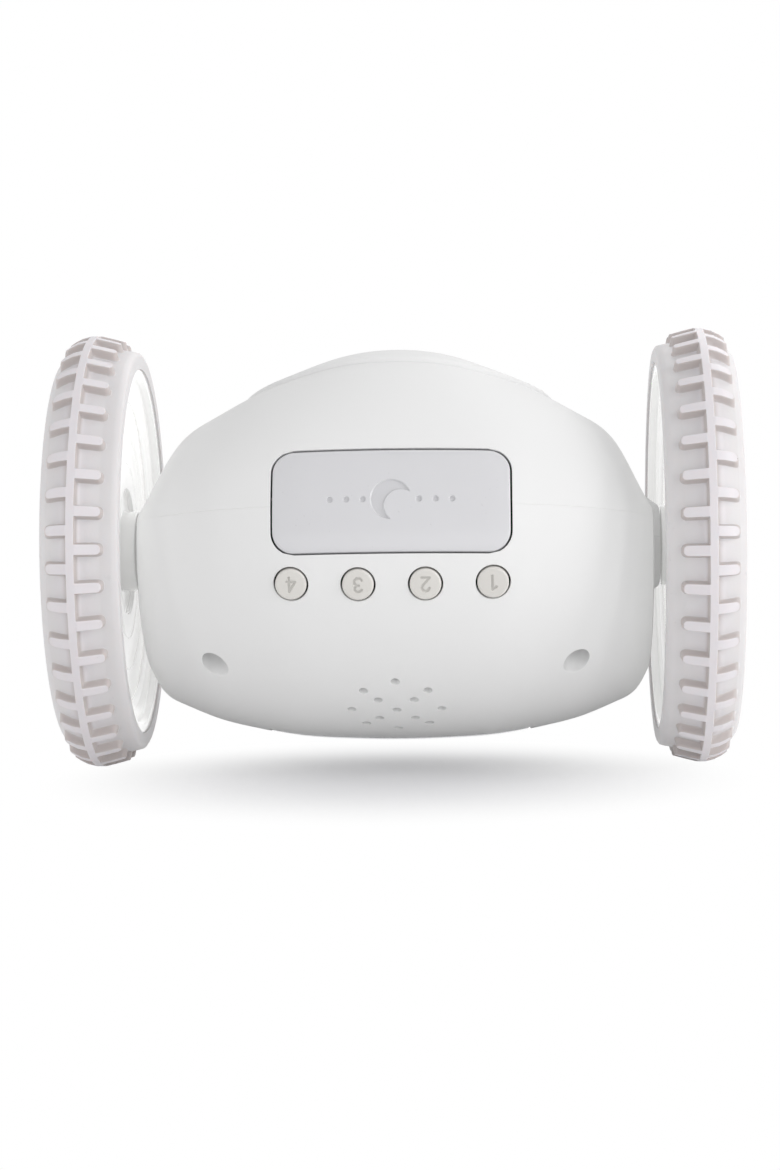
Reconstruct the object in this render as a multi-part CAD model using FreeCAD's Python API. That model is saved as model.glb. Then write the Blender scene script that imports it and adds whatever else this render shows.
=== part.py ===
import FreeCAD, Part
import math
import os
from FreeCAD import Vector

# Two-wheeled alarm clock that drives itself away, in millimetres.
# The model is built in the clock's own frame and then set on its wheels:
#   X runs along the wheel axle, +Z points out of the clock face,
#   -Y points out of the snooze bar, and the origin is the middle of the axle.
# stand() tips the finished clock back on its wheels and lifts it to the floor.

# ---------------------------------------------------------------- overall
wheel_radius = 44.45
body_tilt = 15.0                 # the face leans back by this much at rest

# ---------------------------------------------------------------- housing
body_half_length = 51.3
body_centre_y = 4.35             # the middle of the oval lies behind the axle
body_near = 46.1                 # half axes of the middle section
body_far = 39.5
body_crown = 40.7
body_belly = 38.8
section_points = 16
# (share of the half length, girth factor, crown factor)
body_stations = (
    (0.0, 1.0, 1.0), (0.22, 0.993, 0.963), (0.40, 0.976, 0.878),
    (0.58, 0.932, 0.777), (0.74, 0.877, 0.660), (0.87, 0.806, 0.515),
    (0.955, 0.732, 0.270), (1.0, 0.625, 0.150))
wall = 2.0
part_gap = 0.3                   # between a loose piece and its opening
neck_radius = 8.2
neck_end = 53.5
neck_root = 48.6                 # the neck widens inward to its root in the body
neck_root_radius = 11.8
lip_gap = 0.1
lip_wall = 0.9
lip_height = 1.6

# ---------------------------------------------------------------- housing screws
screw_x = 35.7
screw_near_y = -20.6
screw_far_y = 27.0
screw_well_radius = 2.55
screw_boss_wall = 1.0
screw_shank_radius = 1.3
screw_head_radius = 2.3
screw_head_height = 1.8
screw_well_top = -9.5
screw_bite = 8.0
cross_half = 1.5                 # the cross in a screw's head
cross_width = 0.35
cross_depth = 0.9
board_screw_shank = 1.04
board_screw_head = 2.34
board_screw_head_height = 1.2
board_post_radius = 2.6

# ---------------------------------------------------------------- face
face_half_length = 33.0
face_half_width = 25.0
face_proud = 0.9
face_recess = 0.8
window_length = 40.0
window_width = 19.0
window_corner = 3.5
window_wall = 1.5
window_ledge = 1.4
shroud_wall = 1.2
lcd_length = 42.0
lcd_width = 22.0
lcd_thickness = 2.2
lcd_top = 30.8
backlight_thickness = 1.4
zebra_width = 2.0
board_thickness = 1.2
display_board_length = 60.0
display_board_width = 27.0
display_board_drop = 9.4         # from the top of the display to the board
display_post_end = 5.0           # posts under the board, from its ends and its edges
display_post_edge = 3.0
face_button_x = 27.2
face_button_radius = 3.4
face_button_travel = 0.8
button_proud = 0.5

# ---------------------------------------------------------------- snooze bar
snooze_length = 46.0
snooze_height = 20.2
snooze_corner = 4.2
snooze_z = 0.9                   # the bar's middle sits a little toward the face
snooze_gap = 0.35
snooze_travel = 0.8
snooze_sunk = 0.05
snooze_depth = 3.4
snooze_lip = 1.2
snooze_lip_thickness = 1.0
snooze_pusher_x = 15.0
pusher_radius = 1.6
mark_length = 23.6               # a moon and six pips pressed into the bar
mark_depth = 0.35
moon_radius = 3.9
moon_bite = 0.85                 # the bite's radius as a share of the moon's
moon_bite_across = 0.5           # and where its middle lies, in moon radii
moon_bite_up = 0.35
pip_radius = 0.55
pip_count = 3
pip_pitch = 3.2

# ---------------------------------------------------------------- set buttons
set_button_pitch = 13.0
set_button_count = 4
set_button_radius = 3.05
set_button_hole_radius = 3.375
set_button_z = -15.2
set_button_angle = 26.0          # below the snooze bar's own direction
set_button_travel = 0.6
flange_extra = 0.5
flange_thickness = 0.7
stem_radius = 1.3

# ---------------------------------------------------------------- boards and switches
switch_size = 6.0
switch_height = 3.6
switch_knob_radius = 1.7
switch_knob_height = 0.7
switch_gap = 0.1                 # left when a button is pressed right in
main_board_length = 50.0
main_board_height = 21.6
main_board_bottom = -5.1
main_board_drop = 8.6            # from the back of the snooze bar to the board
chip_edge = 3.0                  # from the board's upper edge to the chips
crystal_radius = 1.0
crystal_length = 6.0
crystal_x = 20.0
set_board_width = 9.0
set_board_margin = 3.8
set_post_radius = 2.08
rail_width = 3.0
rail_depth = 5.0
rail_groove = 1.4
rail_drop = 2.0                  # the rails end this far below the board's upper edge
slide_fit = 0.1

# ---------------------------------------------------------------- speaker
speaker_y = -13.3
speaker_lean = 18.0
speaker_radius = 14.0
speaker_depth = 4.6
speaker_rim = 1.6
speaker_sheet = 0.6
magnet_radius = 8.5
magnet_height = 4.6
speaker_seat_wall = 1.3
sound_hole_radius = 0.875
sound_rings = ((5.05, 4, 45.0), (9.0, 8, 0.0))

# ---------------------------------------------------------------- batteries
cell_radius = 5.25
cell_length = 44.5
cell_tip_radius = 1.9
cell_tip_height = 0.9
cell_count = 4
cell_first_angle = 11.0          # round the oval from the belly to the back
cell_step_angle = 21.5
cell_inset = 9.0                 # from the outer surface to a cell's middle
cell_clearance = 0.3
tray_wall = 1.2
tray_end = 2.0
contact_room = 2.4
plate_thickness = 0.4
plate_size = 8.0
leaf_half = 3.2                  # a bowed leaf presses on the flat end of each cell
leaf_width = 4.0
leaf_thickness = 0.3
door_half_length = 26.5
door_near_y = 5.0
door_top_z = -3.2
tongue_x = 12.0                  # two tongues hold the door's lower edge
tongue_width = 6.0
tongue_length = 3.0
tongue_thickness = 1.2
grip_radius = 9.0                # thumb hollow at the door's upper edge
grip_depth = 0.8

# ---------------------------------------------------------------- gear trains
gear_module = 0.5
pinion_teeth = 12
wheel_teeth = 36
output_teeth = 40
pressure_angle = 20.0
tooth_addendum = 0.8             # of the module, short teeth
tooth_dedendum = 1.15
tooth_backlash = 0.14
face_width = 2.5
stage_gap = 0.4
second_angle = -58.0             # from the axle to the second gear
first_angle = 193.0              # from the second gear to the first
motor_angle = 118.0              # from the first gear to the motor
pin_radius = 0.75
running_fit = 0.05
gearbox_start = 29.3
gearbox_plate = 1.5
gearbox_wall = 1.2
gearbox_clearance = 0.8
cradle_rib = 1.6                 # ribs that carry the gearbox and the motor
cradle_reach = 4.0
cradle_inset = 5.0               # from the motor's cap to its rib
cradle_edge = 2.0
axle_radius = 1.5
bush_radius = 3.2
bush_flange_radius = 4.4
bush_flange = 1.2
bush_length = 6.0
axle_flat = 0.4

# ---------------------------------------------------------------- motors
motor_radius = 10.0
motor_flat = 7.5
motor_length = 25.0
motor_cap_length = 4.0
motor_sheet = 0.8
motor_shaft_radius = 1.0
motor_nose_radius = 3.0
armature_radius = 6.6
armature_length = 11.0
armature_poles = 3
magnet_thickness = 1.7

# ---------------------------------------------------------------- wheels
tread_ridge = 61.65              # distances along the axle from the middle
# (distance from the ridge's middle, how far the tread falls there)
tread_crown = (
    (-8.85, 2.4), (-8.4, 1.75), (-7.3, 1.45), (-5.4, 1.15), (-3.2, 0.55), (-0.9, 0.0),
    (0.9, 0.0), (2.5, 0.4), (3.9, 1.1), (5.1, 1.9), (6.0, 2.7), (6.65, 3.6))
tread_inner = tread_ridge + tread_crown[0][0]
tread_outer = tread_ridge + tread_crown[-1][0]
ridge_width = 1.8
lug_height = 1.8
lug_count = 37
lug_width = 2.3
lug_draft = 0.25                 # how much a lug spreads to its root each side
lug_inner_length = 5.0
lug_outer_length = 4.3
lug_corner = 0.85
lug_root = 2.4                   # how deep a lug reaches into the tyre, in lug heights
tyre_seat_radius = 37.6
rim_recess = 0.4                 # the rim starts this far inside the tyre's edge
rim_wall = 1.7
dish_start = 56.2
dish_recess = 0.9
dish_recess_radius = 13.0
dish_thickness = 2.0
stub_radius = 8.2
hub_radius = 5.0
cap_thickness = 1.8
cap_rise = 1.6
cap_sunk = 0.4                   # the crown of the hub cap inside the tyre edge
axle_end = 61.8
wheel_screw_radius = 0.9
wheel_screw_head = 2.4
left_lug_phase = -1.36           # degrees, upward from the snooze side
right_lug_phase = 1.52

os.makedirs("parts", exist_ok=True)
far = 200.0
origin = Vector(0, 0, 0)
along_x = Vector(1, 0, 0)
along_y = Vector(0, 1, 0)
along_z = Vector(0, 0, 1)


# ---------------------------------------------------------------- helpers
def stand(shape):
    """Clock frame to the floor: lean the clock back and lift it by a wheel radius."""
    placed = shape.copy()
    placed.rotate(origin, along_x, -body_tilt)
    placed.translate(Vector(0, 0, wheel_radius))
    return placed


def save(name, shape, rolling=False):
    """rolling pieces are built about the axle in floor directions and keep them."""
    placed = shape.copy()
    if rolling:
        placed.translate(Vector(0, 0, wheel_radius))
    else:
        placed = stand(shape)
    placed.exportStep("parts/" + name + ".step")


def join(shapes):
    shapes = list(shapes)
    first = shapes[0]
    if len(shapes) == 1:
        return first
    return first.fuse(shapes[1:])


def mirrored(shape):
    return shape.mirror(origin, along_x)


def box(x0, x1, y0, y1, z0, z1):
    return Part.makeBox(x1 - x0, y1 - y0, z1 - z0, Vector(x0, y0, z0))


def rod(radius, start, end):
    """Cylinder between two points."""
    span = end.sub(start)
    return Part.makeCylinder(radius, span.Length, start, span)


def x_rod(radius, x0, x1, y=0.0, z=0.0):
    return Part.makeCylinder(radius, x1 - x0, Vector(x0, y, z), along_x)


def z_rod(radius, x, y, z0, z1):
    return Part.makeCylinder(radius, z1 - z0, Vector(x, y, z0), along_z)


def rounded_plate(length, width, corner, thickness):
    """Rounded rectangle in XY about the origin, from z = 0 up."""
    plate = box(-length / 2, length / 2, -width / 2, width / 2, 0, thickness)
    uprights = [e for e in plate.Edges if abs(e.tangentAt(0).z) > 0.99]
    return plate.makeFillet(corner, uprights)


def oval_plate(half_length, half_width, thickness):
    outline = Part.Ellipse(origin, half_length, half_width).toShape()
    return Part.Face(Part.Wire([outline])).extrude(Vector(0, 0, thickness))


def turned(points, axis_point=origin, axis=along_x):
    """Solid of revolution of a closed outline of points about an axis."""
    outline = Part.makePolygon(list(points) + [points[0]])
    return Part.Face(outline).revolve(axis_point, axis, 360)


# ---------------------------------------------------------------- the oval body
def body_section(x, near, far_side, crown, belly):
    points = []
    for index in range(section_points):
        turn = 2 * math.pi * index / section_points
        across = math.cos(turn)
        up = math.sin(turn)
        y = body_centre_y + across * (far_side if across > 0 else near)
        z = up * (crown if up > 0 else belly)
        points.append(Vector(x, y, z))
    curve = Part.BSplineCurve()
    curve.interpolate(points, PeriodicFlag=True)
    return Part.Wire([curve.toShape()])


body_cache = {}


def body(inset):
    """The body's outer form, moved inward by inset."""
    if inset in body_cache:
        return body_cache[inset]
    left = [(-share, girth, crown) for share, girth, crown in body_stations[:0:-1]]
    wires = []
    for share, girth, crown in left + list(body_stations):
        wires.append(body_section(
            share * (body_half_length - inset),
            body_near * girth - inset,
            body_far * girth - inset,
            body_crown * crown - inset,
            body_belly * girth - inset))
    body_cache[inset] = Part.makeLoft(wires, True, False)
    return body_cache[inset]


def skin(outer_inset, inner_inset):
    return body(outer_inset).cut(body(inner_inset))


def entry_point(through, outward, inset=0.0):
    """Where a line through a point leaves the body on the outward side."""
    line = Part.makeLine(through, through.add(outward * far))
    inside = line.common(body(inset))
    return max((v.Point for v in inside.Vertexes), key=lambda p: p.dot(outward))


def clear_level(axis_point, outward, radius, inset):
    """How far out a disc of this radius can go inside the body, along outward."""
    side = along_x
    across = outward.cross(side)
    levels = []
    for index in range(12):
        turn = 2 * math.pi * index / 12
        rim_point = axis_point + side * (radius * math.cos(turn)) + across * (
            radius * math.sin(turn))
        levels.append(entry_point(rim_point, outward, inset).dot(outward))
    return min(levels)


above = box(-far, far, -far, far, 0, far)
below = box(-far, far, -far, far, -far, 0)

# ---------------------------------------------------------------- gear layout
second_distance = gear_module * (output_teeth + pinion_teeth) / 2
stage_distance = gear_module * (wheel_teeth + pinion_teeth) / 2


def step_from(point, angle, distance):
    turn = math.radians(angle)
    return Vector(0, point.y + distance * math.cos(turn), point.z + distance * math.sin(turn))


second_centre = step_from(origin, second_angle, second_distance)
first_centre = step_from(second_centre, first_angle, stage_distance)
motor_centre = step_from(first_centre, motor_angle, stage_distance)

gearbox_floor = gearbox_start + gearbox_plate
first_plane = gearbox_floor + stage_gap
second_plane = first_plane + face_width + stage_gap
output_plane = second_plane + face_width + stage_gap
gearbox_lid = output_plane + face_width + 2 * stage_gap + part_gap
gearbox_end = gearbox_lid + gearbox_plate


def tip_radius(teeth):
    return gear_module * (teeth / 2 + tooth_addendum)


def gear(teeth, x, centre, phase, width=face_width):
    """Spur gear with involute flanks; phase is the angle of a tooth, in degrees."""
    pitch_radius = gear_module * teeth / 2
    base_radius = pitch_radius * math.cos(math.radians(pressure_angle))
    tip = tip_radius(teeth)
    root = pitch_radius - tooth_dedendum * gear_module
    pitch_half = (math.pi * gear_module / 2 - tooth_backlash) / (2 * pitch_radius)

    def involute(angle):
        return math.tan(angle) - angle

    def half_angle(radius):
        flank = math.acos(min(1.0, base_radius / radius))
        return pitch_half + involute(math.radians(pressure_angle)) - involute(flank)

    def at(radius, angle):
        return Vector(x, centre.y + radius * math.cos(angle), centre.z + radius * math.sin(angle))

    flank_start = max(base_radius, root)
    steps = [flank_start + (tip - flank_start) * i / 3 for i in range(4)]
    pitch_angle = 2 * math.pi / teeth
    edges = []
    for index in range(teeth):
        middle = math.radians(phase) + index * pitch_angle
        rising = [at(r, middle - half_angle(r)) for r in steps]
        falling = [at(r, middle + half_angle(r)) for r in reversed(steps)]
        foot = half_angle(flank_start)
        if root < base_radius:
            edges.append(Part.makeLine(at(root, middle - foot), rising[0]))
        edges.append(spline(rising))
        edges.append(Part.Arc(rising[-1], at(tip, middle), falling[0]).toShape())
        edges.append(spline(falling))
        if root < base_radius:
            edges.append(Part.makeLine(falling[-1], at(root, middle + foot)))
        gap_middle = middle + pitch_angle / 2
        next_foot = middle + pitch_angle - foot
        edges.append(Part.Arc(at(root, middle + foot), at(root, gap_middle),
                              at(root, next_foot)).toShape())
    return Part.Face(Part.Wire(edges)).extrude(Vector(width, 0, 0))


def spline(points):
    curve = Part.BSplineCurve()
    curve.interpolate(points)
    return curve.toShape()


def mating_phase(teeth_a, phase_a, teeth_b, direction):
    """Phase of gear b, at the given direction from gear a, so that they mesh."""
    pitch_a = 360 / teeth_a
    pitch_b = 360 / teeth_b
    share_a = (direction - phase_a) / pitch_a
    return direction + 180 - (0.5 - share_a) * pitch_b


second_pinion_phase = mating_phase(output_teeth, 0, pinion_teeth, second_angle)
first_pinion_phase = mating_phase(wheel_teeth, 0, pinion_teeth, first_angle)
motor_pinion_phase = mating_phase(wheel_teeth, 0, pinion_teeth, motor_angle)


def bored(shape, radius, centre):
    return shape.cut(x_rod(radius, 0, far, centre.y, centre.z))


def make_second_gear():
    sleeve = x_rod(2 * pin_radius, first_plane, second_plane, second_centre.y, second_centre.z)
    wheel = gear(wheel_teeth, second_plane, second_centre, 0)
    pinion = gear(pinion_teeth, second_plane + face_width, second_centre,
                  second_pinion_phase, face_width + 2 * stage_gap)
    return bored(join([sleeve, wheel, pinion]), pin_radius + running_fit, second_centre)


def make_first_gear():
    wheel = gear(wheel_teeth, first_plane, first_centre, 0)
    pinion = gear(pinion_teeth, first_plane + face_width, first_centre,
                  first_pinion_phase, face_width + 2 * stage_gap)
    pinion_end = first_plane + 2 * face_width + 2 * stage_gap
    sleeve = x_rod(2 * pin_radius, pinion_end, gearbox_lid - stage_gap,
                   first_centre.y, first_centre.z)
    return bored(join([wheel, pinion, sleeve]), pin_radius + running_fit, first_centre)


def make_output_gear():
    wheel = gear(output_teeth, output_plane, origin, 0)
    hub = x_rod(2 * axle_radius, output_plane, gearbox_lid - stage_gap)
    return bored(join([wheel, hub]), axle_radius, origin)


def make_motor_pinion():
    pinion = gear(pinion_teeth, first_plane, motor_centre, motor_pinion_phase,
                  face_width + stage_gap)
    return bored(pinion, motor_shaft_radius, motor_centre)


# ---------------------------------------------------------------- gearboxes
def gearbox_outline(extra, x0, x1):
    """Smooth outline round all four gears, grown by extra, between x0 and x1."""
    reach = gearbox_clearance + extra
    rings = (
        (origin, tip_radius(output_teeth) + reach),
        (second_centre, tip_radius(wheel_teeth) + reach),
        (first_centre, tip_radius(wheel_teeth) + reach),
        (motor_centre, tip_radius(pinion_teeth) + reach))
    pieces = [x_rod(radius, x0, x1, c.y, c.z) for c, radius in rings]
    for index, (centre_a, radius_a) in enumerate(rings):
        centre_b, radius_b = rings[(index + 1) % len(rings)]
        pieces.append(belt(centre_a, radius_a, centre_b, radius_b, x0, x1))
    middle = [Vector(x0, c.y, c.z) for c, radius in rings]
    core = Part.Face(Part.makePolygon(middle + middle[:1]))
    pieces.append(core.extrude(Vector(x1 - x0, 0, 0)))
    return join(pieces)


def belt(centre_a, radius_a, centre_b, radius_b, x0, x1):
    """The straight-sided piece that closes two circles into one outline."""
    span = centre_b.sub(centre_a)
    heading = math.atan2(span.z, span.y)
    spread = math.acos((radius_a - radius_b) / span.Length)
    corners = []
    for centre, radius, side in ((centre_a, radius_a, 1), (centre_b, radius_b, 1),
                                 (centre_b, radius_b, -1), (centre_a, radius_a, -1)):
        turn = heading + side * spread
        corners.append(Vector(x0, centre.y + radius * math.cos(turn),
                              centre.z + radius * math.sin(turn)))
    face = Part.Face(Part.makePolygon(corners + corners[:1]))
    return face.extrude(Vector(x1 - x0, 0, 0))


def make_gearbox_case():
    case = gearbox_outline(gearbox_wall, gearbox_start, gearbox_lid)
    case = case.cut(gearbox_outline(0, gearbox_floor, gearbox_lid))
    case = bored(case, axle_radius + running_fit, origin)
    case = bored(case, motor_nose_radius + slide_fit, motor_centre)
    for centre in (first_centre, second_centre):
        case = bored(case, pin_radius, centre)
    return case


def make_gearbox_cover():
    cover = gearbox_outline(gearbox_wall, gearbox_lid, gearbox_end)
    cover = bored(cover, axle_radius + part_gap, origin)
    for centre in (first_centre, second_centre):
        cover = bored(cover, pin_radius, centre)
    return cover


def make_gear_pins():
    pins = []
    for centre in (first_centre, second_centre):
        pins.append(x_rod(pin_radius, gearbox_start, gearbox_end, centre.y, centre.z))
    return Part.makeCompound(pins + [mirrored(pin) for pin in pins])


# ---------------------------------------------------------------- motors
motor_start = gearbox_start - motor_length
motor_can_start = motor_start + motor_cap_length


def motor_outline(inset, x0, x1):
    barrel = x_rod(motor_radius - inset, x0, x1, motor_centre.y, motor_centre.z)
    flats = box(x0, x1, -far, far,
                motor_centre.z - motor_flat + inset, motor_centre.z + motor_flat - inset)
    return barrel.common(flats)


def make_motor_can():
    can = motor_outline(0, motor_can_start, gearbox_start)
    can = can.cut(motor_outline(motor_sheet, motor_can_start, gearbox_start - motor_sheet))
    nose = x_rod(motor_nose_radius, gearbox_start, gearbox_floor, motor_centre.y, motor_centre.z)
    return bored(join([can, nose]), motor_shaft_radius + running_fit, motor_centre)


def make_motor_cap():
    cap = motor_outline(0, motor_start, motor_can_start)
    cap = cap.cut(motor_outline(motor_sheet, motor_start + motor_sheet, motor_can_start))
    return bored(cap, motor_shaft_radius + running_fit, motor_centre)


def make_motor_magnets():
    start = motor_can_start + motor_sheet
    end = gearbox_start - 4 * motor_sheet
    outer = motor_radius - motor_sheet
    ring = x_rod(outer, start, end, motor_centre.y, motor_centre.z)
    ring = ring.cut(x_rod(outer - magnet_thickness, start, end, motor_centre.y, motor_centre.z))
    reach = motor_flat - 3 * motor_sheet
    return ring.common(box(start, end, -far, far, motor_centre.z - reach, motor_centre.z + reach))


def make_armature():
    shaft = x_rod(motor_shaft_radius, motor_start, first_plane + face_width + stage_gap,
                  motor_centre.y, motor_centre.z)
    middle = (motor_can_start + gearbox_start) / 2
    core = x_rod(armature_radius, middle - armature_length / 2, middle + armature_length / 2,
                 motor_centre.y, motor_centre.z)
    slot_width = armature_radius / 4
    for index in range(armature_poles):
        slot = box(0, far, motor_centre.y + armature_radius / 2, motor_centre.y + far,
                   motor_centre.z - slot_width / 2, motor_centre.z + slot_width / 2)
        slot.rotate(motor_centre, along_x, 90 + 360 * index / armature_poles)
        core = core.cut(slot)
    return join([shaft, core])


# ---------------------------------------------------------------- axles and bushes
bush_end = neck_end
bush_start = bush_end - bush_length


def make_axle():
    axle = x_rod(axle_radius, gearbox_start + slide_fit, axle_end)
    flat = box(dish_start, far, axle_radius - axle_flat, far, -far, far)
    screw_hole = x_rod(wheel_screw_radius, axle_end - screw_bite / 2, axle_end)
    return axle.cut(flat).cut(screw_hole)


def make_bush():
    sleeve = x_rod(bush_radius, bush_start, bush_end)
    flange = x_rod(bush_flange_radius, bush_start, bush_start + bush_flange)
    return bored(join([sleeve, flange]), axle_radius + running_fit, origin)


# ---------------------------------------------------------------- wheels
def make_tyre(phase, inner_offset):
    """Tyre of the right wheel; phase and inner_offset set where the lugs stand."""
    base = wheel_radius - lug_height
    outline = [Vector(tread_ridge + x, base - fall, 0) for x, fall in tread_crown]
    ring = turned([Vector(tread_inner, tyre_seat_radius, 0)] + outline
                  + [Vector(tread_outer, tyre_seat_radius, 0)])
    ridge = [
        Vector(tread_ridge - ridge_width / 2 - lug_draft, base - lug_height / 2, 0),
        Vector(tread_ridge - ridge_width / 2, wheel_radius, 0),
        Vector(tread_ridge + ridge_width / 2, wheel_radius, 0),
        Vector(tread_ridge + ridge_width / 2 + lug_draft, base - lug_height / 2, 0)]
    pieces = [ring, turned(ridge)]
    pitch = 360 / lug_count
    inner_lug = make_lug(tread_ridge - lug_inner_length - ridge_width / 2, tread_ridge, True)
    outer_lug = make_lug(tread_ridge, tread_ridge + lug_outer_length + ridge_width / 2, False)
    for index in range(lug_count):
        for lug, share in ((inner_lug, inner_offset), (outer_lug, 0.5 - inner_offset)):
            copy = lug.copy()
            copy.rotate(origin, along_x, -phase - (index + share) * pitch)
            pieces.append(copy)
    return join(pieces)


def make_lug(x0, x1, inner):
    """One cross bar of the tread, pointing to -Y, with its free end rounded."""
    top = wheel_radius
    bottom = wheel_radius - lug_root * lug_height

    def outline(y, spread):
        half = lug_width / 2 + spread
        end = x0 - spread if inner else x1 + spread
        start = x1 if inner else x0
        inward = lug_corner if inner else -lug_corner
        corners = [
            Vector(start, y, -half), Vector(end + inward, y, -half),
            Vector(end, y, -half + lug_corner), Vector(end, y, half - lug_corner),
            Vector(end + inward, y, half), Vector(start, y, half)]
        return Part.makePolygon(corners + corners[:1])

    bar = Part.makeLoft([outline(-bottom, lug_draft), outline(-top, 0)], True, True)
    crown = [Vector(tread_ridge + x, wheel_radius - fall, 0) for x, fall in tread_crown]
    return bar.common(turned([Vector(tread_inner, 0, 0)] + crown + [Vector(tread_outer, 0, 0)]))


def make_rim():
    seat = tyre_seat_radius
    start = tread_inner + rim_recess
    outline = [
        Vector(start, seat - rim_wall, 0),
        Vector(start, seat, 0),
        Vector(tread_outer - rim_wall / 2, seat, 0),
        Vector(tread_outer, seat - rim_wall / 2, 0),
        Vector(tread_outer, seat - rim_wall, 0),
        Vector(dish_start + dish_thickness + rim_wall, seat - rim_wall, 0),
        Vector(dish_start + dish_thickness, seat - 2.5 * rim_wall, 0),
        Vector(dish_start + dish_thickness, hub_radius, 0),
        Vector(axle_end, hub_radius, 0),
        Vector(axle_end, 0, 0),
        Vector(neck_end + part_gap, 0, 0),
        Vector(neck_end + part_gap, stub_radius, 0),
        Vector(dish_start + dish_recess, stub_radius, 0),
        Vector(dish_start + dish_recess, dish_recess_radius, 0),
        Vector(dish_start, dish_recess_radius, 0),
        Vector(dish_start - rim_wall / 2, seat - 3 * rim_wall, 0),
        Vector(start + rim_wall, seat - rim_wall, 0)]
    rim = turned(outline)
    bore = x_rod(axle_radius, 0, far)
    flat = box(dish_start, far, axle_radius - axle_flat, far, -far, far)
    return rim.cut(bore.cut(flat))


def make_hub_cap():
    """Shallow domed disc with a skirt that closes the outside of the wheel."""
    seat = tyre_seat_radius - rim_wall - slide_fit
    crown = tread_outer - cap_sunk
    edge = crown - cap_rise
    hole = wheel_screw_head + slide_fit
    floor = dish_start + dish_thickness + rim_wall
    inside = seat - cap_thickness

    def dome_x(radius):
        return crown - cap_rise * (radius / seat) ** 2

    middle = seat / 2
    outer_arc = Part.Arc(Vector(dome_x(hole), hole, 0), Vector(dome_x(middle), middle, 0),
                         Vector(edge, seat, 0)).toShape()
    drop = Vector(-cap_thickness, 0, 0)
    inner_arc = Part.Arc(Vector(dome_x(inside), inside, 0) + drop,
                         Vector(dome_x(middle), middle, 0) + drop,
                         Vector(dome_x(hub_radius * 2), hub_radius * 2, 0) + drop).toShape()
    corners = [
        Vector(edge, seat, 0), Vector(floor, seat, 0), Vector(floor, inside, 0),
        Vector(dome_x(inside), inside, 0) + drop]
    inner_corners = [
        Vector(dome_x(hub_radius * 2), hub_radius * 2, 0) + drop,
        Vector(axle_end - rim_wall, hub_radius * 2, 0),
        Vector(axle_end - rim_wall, hub_radius + slide_fit, 0),
        Vector(axle_end + slide_fit, hub_radius + slide_fit, 0),
        Vector(axle_end + slide_fit, hole, 0), Vector(dome_x(hole), hole, 0)]
    edges = [outer_arc] + Part.makePolygon(corners).Edges + [inner_arc]
    edges += Part.makePolygon(inner_corners).Edges
    return Part.Face(Part.Wire(edges)).revolve(origin, along_x, 360)


def make_wheel_screw():
    shank = x_rod(wheel_screw_radius, axle_end - screw_bite / 2, axle_end)
    head = x_rod(wheel_screw_head, axle_end, axle_end + screw_head_height)
    slot = box(axle_end + screw_head_height / 2, far, -far, far,
               -wheel_screw_radius / 3, wheel_screw_radius / 3)
    return join([shank, head]).cut(slot)


# ---------------------------------------------------------------- buttons
class Button:
    """A round cap on a stem that slides inward along one line through the body."""

    def __init__(self, through, outward, radius, hole_radius):
        self.outward = outward
        self.radius = radius
        self.hole_radius = hole_radius
        self.top = entry_point(through, outward)
        flange_level = clear_level(through, outward, radius + flange_extra, wall) - part_gap
        self.flange_depth = self.top.dot(outward) - flange_level

    def at(self, depth):
        return self.top.add(self.outward * -depth)

    def cap(self, proud, tip_level):
        flange_depth = self.flange_depth
        tip_depth = self.top.dot(self.outward) - tip_level
        cap = rod(self.radius, self.at(flange_depth), self.at(-proud))
        rim = [e for e in cap.Edges if abs(e.CenterOfMass.sub(self.at(-proud)).Length) < 0.01]
        cap = cap.makeFillet(proud * 0.7, rim)
        flange = rod(self.radius + flange_extra, self.at(flange_depth + flange_thickness),
                     self.at(flange_depth))
        stem = rod(stem_radius, self.at(tip_depth), self.at(flange_depth))
        return join([cap, flange, stem])

    def hole(self):
        return rod(self.hole_radius, self.at(self.flange_depth), self.at(-wall * 3))


def tact_switch(base, outward, side):
    """Square push switch standing on a board at base."""
    half = switch_size / 2
    body_block = box(-half, half, -half, half, 0, switch_height)
    knob = z_rod(switch_knob_radius, 0, 0, switch_height, switch_height + switch_knob_height)
    switch = join([body_block, knob])
    return oriented(switch, base, outward, side)


def oriented(shape, base, outward, side=along_x):
    """Move a shape built about the origin so that its Z points outward at base."""
    across = outward.cross(side)
    matrix = FreeCAD.Matrix(
        side.x, across.x, outward.x, base.x,
        side.y, across.y, outward.y, base.y,
        side.z, across.z, outward.z, base.z,
        0, 0, 0, 1)
    moved = shape.copy()
    moved.Placement = FreeCAD.Placement(matrix).multiply(moved.Placement)
    return moved


switch_reach = switch_height + switch_knob_height

# set buttons, in a row under the snooze bar
set_turn = math.radians(set_button_angle)
set_outward = Vector(0, -math.cos(set_turn), -math.sin(set_turn))
set_xs = [(i - (set_button_count - 1) / 2) * set_button_pitch for i in range(set_button_count)]


def set_line(x):
    y = body_centre_y - body_near * math.sqrt(1 - (set_button_z / body_belly) ** 2)
    return Vector(x, y, set_button_z).add(set_outward * (-body_near / 4))


set_buttons = [Button(set_line(x), set_outward, set_button_radius, set_button_hole_radius)
               for x in set_xs]
set_tip_level = -flange_thickness - set_button_travel + min(
    button.top.dot(set_outward) - button.flange_depth for button in set_buttons)
set_board_level = set_tip_level - set_button_travel - switch_gap - switch_reach

# face buttons, one at each end of the display
face_buttons = []
for side in (-1, 1):
    face_buttons.append(Button(Vector(side * face_button_x, body_centre_y, lcd_top / 2), along_z,
                               face_button_radius, face_button_radius + part_gap))
display_board_top = lcd_top - display_board_drop
face_tip_level = display_board_top + switch_reach + switch_gap + face_button_travel


def make_set_button(button):
    return button.cap(button_proud, set_tip_level)


def make_face_button(button):
    return button.cap(face_proud + button_proud, face_tip_level)


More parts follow.
